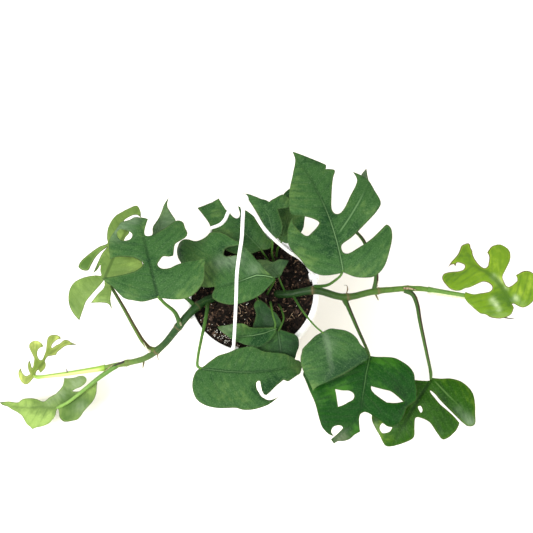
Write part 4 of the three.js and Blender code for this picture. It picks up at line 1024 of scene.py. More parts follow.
@dataclass(frozen=True)
class ChipFinish:
    """Bark chips, each its own brown, rough and flecked."""

    name: str
    dark: Colour = (0.003, 0.002, 0.0015)
    bark: Colour = (0.055, 0.032, 0.020)
    light: Colour = (0.26, 0.165, 0.10)

    def build(self) -> bpy.types.Material:
        """Makes the material.

        Returns:
            The material.
        """
        n = Nodes(self.name)
        tone = n.plus(n.mark("tone"), n.band(n.cloud(500, 4), 0.3, 0.7, -0.15, 0.15))
        colour = n.blend(n.band(tone, 0.35, 0.95), self.dark, self.bark)
        colour = n.blend(n.band(tone, 0.92, 1.05, 0, 0.8), colour, self.light)
        n.bump(n.plus(n.cloud(700, 5), n.cells(600)), 0.0012, 0.9)
        return n.finish(Base_Color=colour, Roughness=0.85, Specular_IOR_Level=0.12)


@dataclass(frozen=True)
class GritFinish:
    """A rough crumbling surface, such as perlite, a dry fibre or a dead sheath."""

    name: str
    light: Colour
    dark: Colour

    def build(self) -> bpy.types.Material:
        """Makes the material.

        Returns:
            The material.
        """
        n = Nodes(self.name)
        colour = n.blend(n.band(n.cloud(500, 4), 0.35, 0.65), self.dark, self.light)
        n.bump(n.cloud(1500, 4), 0.0005, 0.8)
        return n.finish(Base_Color=colour, Roughness=0.85)


Finish = Union[LeafFinish, StalkFinish, PlasticFinish, SoilFinish, ChipFinish, GritFinish]

LEAF_FINISHES: dict[Tone, LeafFinish] = {
    Tone.MID: LeafFinish(
        "leaf_mid_green", (0.006, 0.034, 0.008), (0.026, 0.078, 0.018), (0.080, 0.152, 0.038),
        (0.15, 0.27, 0.11)),
    Tone.RICH: LeafFinish(
        "leaf_rich_green", (0.003, 0.025, 0.0005), (0.012, 0.057, 0.0005), (0.085, 0.165, 0.008),
        (0.10, 0.20, 0.05), line_share=0.3, specks=0.06),
    Tone.DEEP: LeafFinish(
        "leaf_deep_green", (0.001, 0.018, 0.001), (0.002, 0.037, 0.001), (0.024, 0.100, 0.006),
        (0.06, 0.15, 0.04), bloom_and_sheen=(0.15, 0.17, 0.11), line_share=0.3, specks=0.1),
    Tone.DIM: LeafFinish(
        "leaf_dim_green", (0.007, 0.026, 0.008), (0.012, 0.044, 0.011), (0.038, 0.105, 0.024),
        (0.07, 0.14, 0.06)),
    Tone.PALE: LeafFinish(
        "leaf_pale_green", (0.033, 0.058, 0.025), (0.058, 0.095, 0.046), (0.125, 0.175, 0.095),
        (0.20, 0.28, 0.16)),
    Tone.YOUNG: LeafFinish(
        "leaf_young_green", (0.056, 0.116, 0.020), (0.112, 0.186, 0.040), (0.235, 0.350, 0.082),
        (0.06, 0.12, 0.025), bloom_and_sheen=(0.28, 0.35, 0.22), margin=(0.04, 0.06, 0.02), margin_share=0.6,
        line_share=0.4, specks=0.1, variation=0.15, furrow_shade=0.4),
    Tone.NEW: LeafFinish(
        "leaf_new_green", (0.11, 0.17, 0.026), (0.18, 0.235, 0.05), (0.44, 0.51, 0.13), (0.12, 0.17, 0.03),
        margin_share=0.6, line_share=0.45, specks=0.1),
    # the glossy leaf's bright bloom colour paints its highlights
    Tone.GLOSSY: LeafFinish(
        "leaf_glossy_green", (0.045, 0.115, 0.002), (0.110, 0.210, 0.003), (0.270, 0.390, 0.025),
        (0.08, 0.16, 0.02), bloom_and_sheen=(0.60, 0.72, 0.42), margin=(0.07, 0.025, 0.012), margin_share=0.9,
        roughness=0.26, shine=0.16, coat=0.3, specks=0.05, variation=0.14),
}
YOUNG_TONES = (Tone.YOUNG, Tone.NEW, Tone.GLOSSY)

STALK_GREEN = StalkFinish("stalk_green", (0.024, 0.078, 0.010), (0.064, 0.152, 0.022), (0.10, 0.19, 0.05))
# a darker stalk green, partly painted shade for the pot's stalks under the leaves
STALK_SHADED_UNDER_LEAVES = StalkFinish("stalk_shaded_under_leaves", (0.015, 0.050, 0.006), (0.045, 0.115, 0.014), (0.06, 0.12, 0.03))
STALK_BROWNED = StalkFinish(
    "stalk_browned", (0.030, 0.080, 0.014), (0.055, 0.125, 0.022), (0.040, 0.030, 0.014), streaks=0.5,
    roughness=0.5, flush_and_sheen=(0.030, 0.010, 0.010), flush_side=(0.9, -0.1, 0.35), flush_share=0.95)
STALK_BROWN_TOP = StalkFinish(
    "stalk_brown_top", (0.075, 0.135, 0.020), (0.045, 0.110, 0.018), (0.10, 0.14, 0.05), streaks=0.5,
    roughness=0.5, flush_and_sheen=(0.045, 0.022, 0.010), flush_side=(0.85, 0.1, 0.5), flush_share=0.85)
# its pale flush on the side that faces the front is a painted highlight
STALK_YOUNG = StalkFinish(
    "stalk_young", (0.24, 0.40, 0.050), (0.27, 0.42, 0.075), (0.50, 0.62, 0.20),
    flush_and_sheen=(0.60, 0.70, 0.24), flush_side=(0.1, -0.95, 0.3), flush_share=0.85)
STALK_TIP = StalkFinish("stalk_tip", (0.085, 0.19, 0.030), (0.17, 0.31, 0.06), (0.34, 0.44, 0.18))
VINE_SKINS: dict[str, StalkFinish] = {
    "vine_right": StalkFinish("vine_skin_right", (0.009, 0.033, 0.006), (0.085, 0.180, 0.022),
                              (0.06, 0.12, 0.03), streaks=0.4, turn=(0.25, 1.0)),
    "vine_left": StalkFinish("vine_skin_left", (0.012, 0.046, 0.009), (0.130, 0.225, 0.042),
                             (0.13, 0.20, 0.06), streaks=0.4, turn=(0.45, 1.0)),
}
STALK_SKINS: dict[str, StalkFinish] = {
    "front_holed": STALK_BROWNED, "right_front": STALK_BROWNED, "top_small": STALK_BROWNED,
    "left_outer": STALK_BROWN_TOP, "left_tip_curled": STALK_YOUNG, "right_tip": STALK_TIP,
    "left_tip_lower": STALK_TIP,
    **{leaf.name: STALK_SHADED_UNDER_LEAVES for leaf in LEAVES if leaf.name.startswith("pot_")},
}
WHITE_PLASTIC = PlasticFinish("white_plastic")
SOIL_MIX = SoilFinish("dark_soil")
BARK_CHIPS = ChipFinish("bark_chips")
PERLITE = GritFinish("perlite", (0.80, 0.78, 0.72), (0.50, 0.47, 0.41))
FIBRE = GritFinish("dry_fibre", (0.58, 0.42, 0.26), (0.28, 0.18, 0.10))
DRY_SHEATH = GritFinish("dry_sheath", (0.46, 0.35, 0.22), (0.14, 0.08, 0.05))
PALE_SHEATH = GritFinish("pale_sheath", (0.74, 0.78, 0.50), (0.58, 0.66, 0.34))
PAPERY_SHEATH = GritFinish("papery_sheath", (0.60, 0.56, 0.44), (0.34, 0.34, 0.22))
WITHERED = GritFinish("withered_tip", (0.030, 0.018, 0.016), (0.010, 0.006, 0.006))
FADED_SHEATH = GritFinish("faded_sheath", (0.30, 0.27, 0.17), (0.10, 0.11, 0.05))


class Workshop:
    """Turns finished bmeshes into pieces that ride on the frame, and keeps each material once."""

    def __init__(self) -> None:
        """Starts with no materials made."""
        self.made: dict[tuple[str, bool], bpy.types.Material] = {}

    def material(self, finish: Finish, underside: bool = False) -> bpy.types.Material:
        """The material of a finish, made the first time it is asked for.

        Args:
            finish: The finish.
            underside: True for the lower face of a leaf.

        Returns:
            The material.
        """
        key = (finish.name, underside)
        if key not in self.made:
            self.made[key] = finish.build(True) if underside else finish.build()
        return self.made[key]

    def piece(self, name: str, bm: bmesh.types.BMesh, materials: Sequence[bpy.types.Material], slot: str,
              nodes: Sequence[str] = (), smooth: bool = True) -> bpy.types.Object:
        """Puts a mesh in the scene as a piece of the plant.

        Args:
            name: The piece's name.
            bm: Its mesh, which is freed.
            materials: Its materials, in slot order.
            slot: The name of a material slot; not used.
            nodes: The CAD nodes that it stands for.
            smooth: False for flat shaded faces.

        Returns:
            The new object.
        """
        mesh = bpy.data.meshes.new(name)
        for face in bm.faces:
            face.smooth = smooth
        bm.to_mesh(mesh)
        bm.free()
        for material in materials:
            mesh.materials.append(material)
        piece = bpy.data.objects.new(name, mesh)
        bpy.context.collection.objects.link(piece)
        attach(piece, "root")
        if nodes:
            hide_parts(*nodes)
        LOG.info("%s: %d faces", name, len(mesh.polygons))
        return piece


def tube(bm: bmesh.types.BMesh, line: Sequence[Vector], radius: Callable[[float], float], sides: int = 12,
         flat: float = 1.0, scar: Callable[[float], float] = lambda share: 0.0,
         facing: Optional[Vector] = None) -> None:
    """Grows a closed round tube along a line by extruding its end cap.

    Args:
        bm: The mesh it is added to.
        line: The points of its middle, in metres.
        radius: Its radius in metres at a share of its length.
        sides: How many sides it has.
        flat: Its thickness over its width.
        scar: How far a share of its length is scarred, from 0 to 1.
        facing: The way its width points at its foot.
    """
    layers = {name: bm.verts.layers.float.get(name) or bm.verts.layers.float.new(name)
              for name in ("along", "around", "share", "scar")}
    heading = (line[1] - line[0]).normalized()
    side = facing or heading.orthogonal().normalized()
    cap = bmesh.ops.create_circle(bm, cap_ends=True, segments=sides, radius=radius(0))["verts"]
    face = cap[0].link_faces[0]
    travelled = 0.0
    for i, centre in enumerate(line):
        ahead = (line[min(i + 1, len(line) - 1)] - line[max(i - 1, 0)]).normalized()
        side = (side - ahead * side.dot(ahead)).normalized()
        other = ahead.cross(side)
        share = i / (len(line) - 1)
        if i:
            travelled += (centre - line[i - 1]).length
            face = bmesh.ops.extrude_discrete_faces(bm, faces=[face])["faces"][0]
        size = radius(share)
        for k, loop in enumerate(face.loops):
            angle = 2 * math.pi * k / sides
            vert = loop.vert
            vert.co = centre + side * (math.cos(angle) * size) + other * (math.sin(angle) * size * flat)
            vert[layers["along"]] = travelled * STREAK_SCALE
            vert[layers["around"]] = angle
            vert[layers["share"]] = share
            vert[layers["scar"]] = scar(share)


def close_tube(bm: bmesh.types.BMesh) -> None:
    """Fills the open feet of the tubes in a mesh and turns every face outwards."""
    bmesh.ops.holes_fill(bm, edges=[edge for edge in bm.edges if edge.is_boundary])
    bmesh.ops.recalc_face_normals(bm, faces=bm.faces)


def spun(bm: bmesh.types.BMesh, profile: Sequence[Pair], steps: int) -> None:
    """Spins an open outline of (radius, height) points round the upright axis.

    Args:
        bm: The mesh it is added to.
        profile: The outline, in millimetres.
        steps: How many steps make the full turn.
    """
    verts = [bm.verts.new((r * MM, 0, z * MM)) for r, z in profile]
    edges = [bm.edges.new(pair) for pair in zip(verts, verts[1:])]
    bmesh.ops.spin(bm, geom=[*verts, *edges], cent=(0, 0, 0), axis=(0, 0, 1), dvec=(0, 0, 0),
                   angle=2 * math.pi, steps=steps, use_merge=True)
    bmesh.ops.remove_doubles(bm, verts=bm.verts, dist=WELD)


def corners(geometry: Sequence[object]) -> list[bmesh.types.BMVert]:
    """The corner points in what an operator returned."""
    return [item for item in geometry if isinstance(item, bmesh.types.BMVert)]


def once(items: Iterable[object]) -> list[object]:
    """Each item once, in the order they come, so that every run builds the same mesh."""
    return list(dict.fromkeys(items))


@dataclass
class Pot:
    """The white hanging pot, with a banded rim and drain holes in its floor.

    Sizes are in millimetres. The rim is an outline of (radius, height) points from the top of the
    tapered wall outside, over the edge, to the top of the wall inside. The foot is rounded by steps off
    the base radius, and the corner inside by steps off the inner radius and the floor.
    """

    base_radius: float = 52.5
    foot: tuple[Pair, ...] = ((-2.2, 0), (-0.9, 0.5), (0, 2))
    rim: tuple[Pair, ...] = (
        (69.9, 105.4), (70.6, 106.3), (74.6, 106.8), (75.6, 107.2), (76, 108), (76, 110), (75.7, 110.5),
        (76, 111), (76, 116.6), (75.6, 117.5), (74.8, 118), (71.2, 118), (70.3, 117.6), (70, 116.8),
        (70, 109.4), (69.6, 108.4), (67.9, 107),
    )
    inner_radius: float = 50.5
    corner: tuple[Pair, ...] = ((0.5, 1.5), (-1, 0))
    floor: float = 3.0
    floor_disc: float = 42.0
    drain_ring: float = 28.0
    drain_radius: float = 4.0
    drain_holes: int = 5
    drain_sides: int = 32
    steps: int = 144

    def build(self, shop: Workshop) -> None:
        """Makes the pot.

        Args:
            shop: The workshop that takes it.
        """
        bm = bmesh.new()
        spun(bm, [
            (self.floor_disc, 0), *((self.base_radius + out, up) for out, up in self.foot), *self.rim,
            *((self.inner_radius + out, self.floor + up) for out, up in self.corner),
            (self.floor_disc, self.floor),
        ], self.steps)
        self._floor(bm)
        bmesh.ops.remove_doubles(bm, verts=bm.verts, dist=WELD)
        bmesh.ops.recalc_face_normals(bm, faces=bm.faces)
        shop.piece("pot_shell", bm, [shop.material(WHITE_PLASTIC)], "white_plastic", ["pot"])

    def _floor(self, bm: bmesh.types.BMesh) -> None:
        """Adds the round middle of the pot's floor, pierced by its drain holes.

        Args:
            bm: The mesh of the pot.
        """
        rings = [(0.0, 0.0, self.floor_disc, self.steps)]
        for k in range(self.drain_holes):
            angle = 2 * math.pi * k / self.drain_holes
            rings.append((self.drain_ring * math.cos(angle), self.drain_ring * math.sin(angle),
                          self.drain_radius, self.drain_sides))
        edges = []
        for x, y, radius, segments in rings:
            place = Matrix.Translation((x * MM, y * MM, self.floor * MM))
            verts = bmesh.ops.create_circle(bm, segments=segments, radius=radius * MM, matrix=place)["verts"]
            edges += once(edge for vert in verts for edge in vert.link_edges)
        faces = [g for g in bmesh.ops.triangle_fill(bm, use_beauty=True, edges=edges)["geom"]
                 if isinstance(g, bmesh.types.BMFace)]
        lower = corners(bmesh.ops.extrude_face_region(bm, geom=faces, use_keep_orig=True)["geom"])
        bmesh.ops.translate(bm, verts=lower, vec=(0, 0, -self.floor * MM))
        limit = (self.floor_disc - 0.05) * MM
        joint = [face for vert in lower for face in vert.link_faces
                 if all(v.co.to_2d().length > limit for v in face.verts) and abs(face.normal.z) < 0.5]
        bmesh.ops.delete(bm, geom=once(joint), context="FACES")


@dataclass
class SoilBed:
    """The soil in the pot, with bark chips, perlite and fibres scattered on top.

    Sizes are in millimetres, and each pair of a range is its least and its most. Fibre heaps and stems
    are places (x, y) on the soil, and the perlite's heading is a mean and a spread in degrees.
    """

    top: float = 112.0
    floor: float = 3.3
    base_radius: float = 50.0
    top_radius: float = 69.6
    wall: tuple[Pair, ...] = ((67.2, 106.9), (69.6, 109.4))
    level_radius: float = 64.0
    swell: float = 2.0
    roughness: float = 0.9
    rings: int = 34
    steps: int = 120
    stem_room: float = 4.5
    chips: int = 1300
    chip_spread: float = 66.5
    chip_sizes: tuple[Pair, ...] = ((1.4, 5.2), (0.9, 2.6), (0.6, 1.7))
    chip_bevel: float = 0.18
    crumbs: int = 80
    crumb_spread: float = 65.0
    crumb_heading: Pair = (234, 17)
    crumb_ring: Pair = (56, 67)
    crumb_sizes: Pair = (0.3, 0.7)
    fibres: int = 70
    fibre_spread: float = 62.0
    fibre_reach: Pair = (1.2, 4.2)
    fibre_radius: float = 0.28
    fibre_heaps: tuple[Pair, ...] = ((-13, -20), (40, -35), (-6, -34), (22, -26))
    heap_size: Pair = (6, 5)
    seed: int = 11
    stems: tuple[Pair, ...] = tuple(leaf.stalk[1][:2] for leaf in LEAVES if leaf.root is Root.SOIL)

    def height(self, x: float, y: float) -> float:
        """The height of the soil at a place.

        Args:
            x: To the right of the pot's middle, in millimetres.
            y: Behind it.

        Returns:
            The height in millimetres.
        """
        edge = max(0.0, 1 - math.hypot(x, y) / self.level_radius)
        swell = edge * self.swell * math.sin(x * 0.11) * math.cos(y * 0.13) + edge
        rough = self.roughness * noise.noise(Vector((x * 0.16, y * 0.16, 2)))
        return self.top + swell + rough * min(1, edge * 6)

    def build(self, shop: Workshop) -> None:
        """Makes the soil and what lies on it.

        Args:
            shop: The workshop that takes the pieces.
        """
        bm = bmesh.new()
        rim = self.top_radius
        rings = [((rim - 2) * (1 - k / self.rings), self.top) for k in range(self.rings)]
        spun(bm, [(0, self.floor), (self.base_radius - 1, self.floor), (self.base_radius, self.floor + 2),
                  *self.wall, (rim, self.top - 1.2), *rings, (0, self.top)], self.steps)
        for vert in bm.verts:
            if vert.co.z > (self.top - 0.5) * MM:
                vert.co.z = self.height(vert.co.x / MM, vert.co.y / MM) * MM
        bmesh.ops.recalc_face_normals(bm, faces=bm.faces)
        shop.piece("soil_bed", bm, [shop.material(SOIL_MIX)], "soil", ["soil"])
        draw = random.Random(self.seed)
        self._chips(shop, draw)
        self._crumbs(shop, draw)
        self._fibres(shop, draw)

    def _spot(self, draw: random.Random, spread: float) -> Pair:
        """A random place on the soil that isn't inside a stem.

        Args:
            draw: The source of random numbers.
            spread: The greatest distance from the pot's middle, in millimetres.

        Returns:
            The place (x, y), in millimetres.
        """
        while True:
            radius, angle = spread * math.sqrt(draw.random()), draw.uniform(0, 2 * math.pi)
            x, y = radius * math.cos(angle), radius * math.sin(angle)
            if all(math.hypot(x - a, y - b) > self.stem_room for a, b in self.stems):
                return x, y

    def _chips(self, shop: Workshop, draw: random.Random) -> None:
        """Scatters flat angular bark chips.

        Args:
            shop: The workshop that takes them.
            draw: The source of random numbers.
        """
        bm = bmesh.new()
        layer = bm.verts.layers.float.new("tone")
        for _ in range(self.chips):
            x, y = self._spot(draw, self.chip_spread)
            size = Vector([draw.uniform(*span) for span in self.chip_sizes]) * MM
            spin = Matrix.Rotation(draw.uniform(0, 6.3), 4, "Z") @ Matrix.Rotation(draw.gauss(0, 0.5), 4, "X")
            place = Matrix.Translation((x * MM, y * MM, (self.height(x, y) + draw.uniform(-0.2, 1.4)) * MM))
            verts = bmesh.ops.create_cube(bm, size=1)["verts"]
            tone = draw.random()
            for vert in verts:
                vert[layer] = tone
                vert.co = Vector((c * s * draw.uniform(0.7, 1.1) for c, s in zip(vert.co, size)))
            bmesh.ops.transform(bm, matrix=place @ spin, verts=verts)
        bmesh.ops.bevel(bm, geom=bm.edges[:], offset=self.chip_bevel * MM, affect="EDGES", segments=1,
                        profile=0.5, material=-1)
        shop.piece("soil_bark_chips", bm, [shop.material(BARK_CHIPS)], "soil", smooth=False)

    def _crumbs(self, shop: Workshop, draw: random.Random) -> None:
        """Scatters white perlite: four crumbs in five at the front left of the rim, the rest anywhere.

        Args:
            shop: The workshop that takes it.
            draw: The source of random numbers.
        """
        bm = bmesh.new()
        for k in range(self.crumbs):
            if k % 5:
                angle, radius = math.radians(draw.gauss(*self.crumb_heading)), draw.uniform(*self.crumb_ring)
                x, y = radius * math.cos(angle), radius * math.sin(angle)
            else:
                x, y = self._spot(draw, self.crumb_spread)
            place = Matrix.Translation((x * MM, y * MM, (self.height(x, y) + 1.2) * MM))
            size = draw.uniform(*self.crumb_sizes) * MM
            verts = bmesh.ops.create_icosphere(bm, subdivisions=2, radius=size)["verts"]
            shift = Vector((draw.random() * 9, draw.random() * 9, k))
            for vert in verts:
                vert.co *= 1 + 0.45 * noise.noise(vert.co * 1400 + shift)
            bmesh.ops.transform(bm, matrix=place, verts=verts)
        shop.piece("soil_perlite", bm, [shop.material(PERLITE)], "soil")

    def _fibres(self, shop: Workshop, draw: random.Random) -> None:
        """Scatters pale dry fibres, every third one in a heap.

        Args:
            shop: The workshop that takes them.
            draw: The source of random numbers.
        """
        bm = bmesh.new()
        for k in range(self.fibres):
            x, y = self._spot(draw, self.fibre_spread)
            if k % 3 == 0:
                middle = self.fibre_heaps[k % len(self.fibre_heaps)]
                x, y = (draw.gauss(at, size) for at, size in zip(middle, self.heap_size))
            angle, reach = draw.uniform(0, 6.3), draw.uniform(*self.fibre_reach)
            points = []
            for t in (-1, -0.3, 0.4, 1):
                px = x + reach * t * math.cos(angle) + draw.uniform(-0.25, 0.25)
                py = y + reach * t * math.sin(angle) + draw.uniform(-0.25, 0.25)
                points.append((px, py, self.height(px, py) + 1.6 + draw.uniform(0, 0.8)))
            tube(bm, smooth_path(points, 1.2), lambda share: self.fibre_radius * MM * (1.1 - share), 5)
        close_tube(bm)
        shop.piece("soil_fibres", bm, [shop.material(FIBRE)], "soil")


@dataclass
class Hanger:
    """The hook with its hub, and three strands that clip on the pot's rim.

    Sizes are in millimetres. The hub's outline is (radius, height) points about its middle, and the
    clip's is (distance from the pot's axis, height) points. The hook bends through the angles of its turn.
    """

    hub: Point3 = (5, 3, 345)
    hub_outline: tuple[Pair, ...] = (
        (0, -8), (2, -7.8), (4, -7), (5.2, -5.6), (6, -4), (6, 1), (5.4, 3), (4, 5), (2.6, 6.4), (0, 7))
    hub_steps: int = 40
    neck: float = 9.0
    hook_rise: float = 31.0
    hook_radius: float = 13.0
    hook_turn: range = range(-90, 201, 29)
    wire: float = 2.0
    strand: float = 1.8
    clip_outline: tuple[Pair, ...] = (
        (67.4, 113.2), (69.4, 113.2), (69.4, 118.4), (76.4, 118.4), (76.4, 108), (78.4, 108),
        (78.4, 119.4), (77.4, 120.8), (68.4, 120.8), (67.4, 119.4))
    clip_width: float = 8.0
    clip_bevel: float = 0.3

    def build(self, shop: Workshop) -> None:
        """Makes the hook and the strands.

        Args:
            shop: The workshop that takes the pieces.
        """
        white = shop.material(WHITE_PLASTIC)
        x, y, z = self.hub
        bm = bmesh.new()
        spun(bm, self.hub_outline, self.hub_steps)
        bmesh.ops.translate(bm, verts=bm.verts, vec=(x * MM, y * MM, z * MM))
        path = [(x, y, z), (x, y, z + self.neck)]
        for angle in self.hook_turn:
            path.append((x + self.hook_radius * math.cos(math.radians(angle)), y,
                         z + self.hook_rise + self.hook_radius * math.sin(math.radians(angle))))
        tube(bm, smooth_path(path, 1.5), lambda share: self.wire * MM * min(1, 0.6 + 12 * (1 - share)), 16)
        close_tube(bm)
        shop.piece("hanger_top", bm, [white], "white_plastic", ["hanger_hook"])
        for strand in STRANDS:
            bm = bmesh.new()
            tube(bm, smooth_path(strand.path, 2.5), lambda share: self.strand * MM, 12)
            close_tube(bm)
            self._clip(bm, strand.heading)
            shop.piece(f"hanger_line_{strand.name}", bm, [white], "white_plastic",
                       [f"hanger_strand_{strand.name}"])

    def _clip(self, bm: bmesh.types.BMesh, heading: float) -> None:
        """Adds the clip that straddles the rim.

        Args:
            bm: The mesh of the strand.
            heading: Where on the rim it sits, in degrees.
        """
        half = self.clip_width / 2
        verts = [bm.verts.new((r * MM, -half * MM, z * MM)) for r, z in self.clip_outline]
        face = bm.faces.new(verts)
        new = corners(bmesh.ops.extrude_face_region(bm, geom=[face], use_keep_orig=True)["geom"])
        bmesh.ops.translate(bm, verts=new, vec=(0, self.clip_width * MM, 0))
        solid = once(f for vert in [*verts, *new] for f in vert.link_faces)
        bmesh.ops.recalc_face_normals(bm, faces=solid)
        edges = once(edge for f in solid for edge in f.edges)
        bmesh.ops.bevel(bm, geom=edges, offset=self.clip_bevel * MM, affect="EDGES", segments=2,
                        profile=0.5, material=-1)
        on_tube = bm.verts.layers.float["share"]
        inmost, top = min(r for r, z in self.clip_outline) - 0.4, max(z for r, z in self.clip_outline) + 0.2
        clip = once(v for f in bm.faces if abs(f.calc_center_median().y) <= (half + 0.1) * MM
                    for v in f.verts if v.co.x > inmost * MM and v.co.z < top * MM and not v[on_tube])
        turn = Matrix.Rotation(math.radians(heading), 3, "Z")
        bmesh.ops.rotate(bm, verts=clip, cent=(0, 0, 0), matrix=turn)


@dataclass
class TrailingStem:
    """One of the two vines, with ringed joints, leaf scars and short roots.

    Swell and ridge are in millimetres, and widths and the ring's place past a joint are shares of the
    stem's length. Each kind of root has its radius at the foot, how much it thins, and how scarred it is.
    """

    stem: Stem
    swell: float = 0.7
    width: float = 0.02
    ridge: float = 0.3
    ridge_width: float = 0.0035
    ring_at: float = 0.006
    ring_width: float = 0.0028
    patch_width: float = 0.012
    root: tuple[float, float, float] = (1.2, 0.6, 0.6)
    fine_root: tuple[float, float, float] = (0.75, 0.4, 0.95)
    roughness: float = 0.22

    def radius(self, share: float) -> float:
        """The stem's radius.

        Args:
            share: The share of its length.

        Returns:
            The radius in metres.
        """
        start, end = self.stem.radii
        grown = sum(self.swell * peak(share, at, self.width) for at in self.stem.joints)
        ridge = sum(self.ridge * peak(share - at, self.ring_at, self.ridge_width) for at in self.stem.joints)
        return (start + (end - start) * share + grown + ridge) * MM

    def scar(self, share: float) -> float:
        """How far the skin is scarred.

        Args:
            share: The share of the stem's length.

        Returns:
            The amount, from 0 to 1.
        """
        ring = max(peak(share - at, self.ring_at, self.ring_width) for at in self.stem.joints)
        patch = max(peak(share, at, self.patch_width) for at in self.stem.scars)
        return min(1, 0.7 * ring + 0.3 * patch)

    def build(self, shop: Workshop) -> None:
        """Makes the vine.

        Args:
            shop: The workshop that takes it.
        """
        bm = bmesh.new()
        tube(bm, smooth_path(self.stem.path, 1.1), self.radius, 20, scar=self.scar)
        for paths, step, (foot, thins, scarred) in ((self.stem.roots, 1.0, self.root),
                                                    (self.stem.fine_roots, 0.8, self.fine_root)):
            for path in paths:
                tube(bm, smooth_path(path, step), lambda share: (foot - thins * share) * MM, 8,
                     scar=lambda share: scarred)
        close_tube(bm)
        for vert in bm.verts:
            vert.co += vert.normal * (self.roughness * MM * noise.noise(vert.co * 160))
        skin = shop.material(VINE_SKINS[self.stem.name])
        shop.piece(f"stem_{self.stem.name[5:]}", bm, [skin], "vine", [self.stem.name])


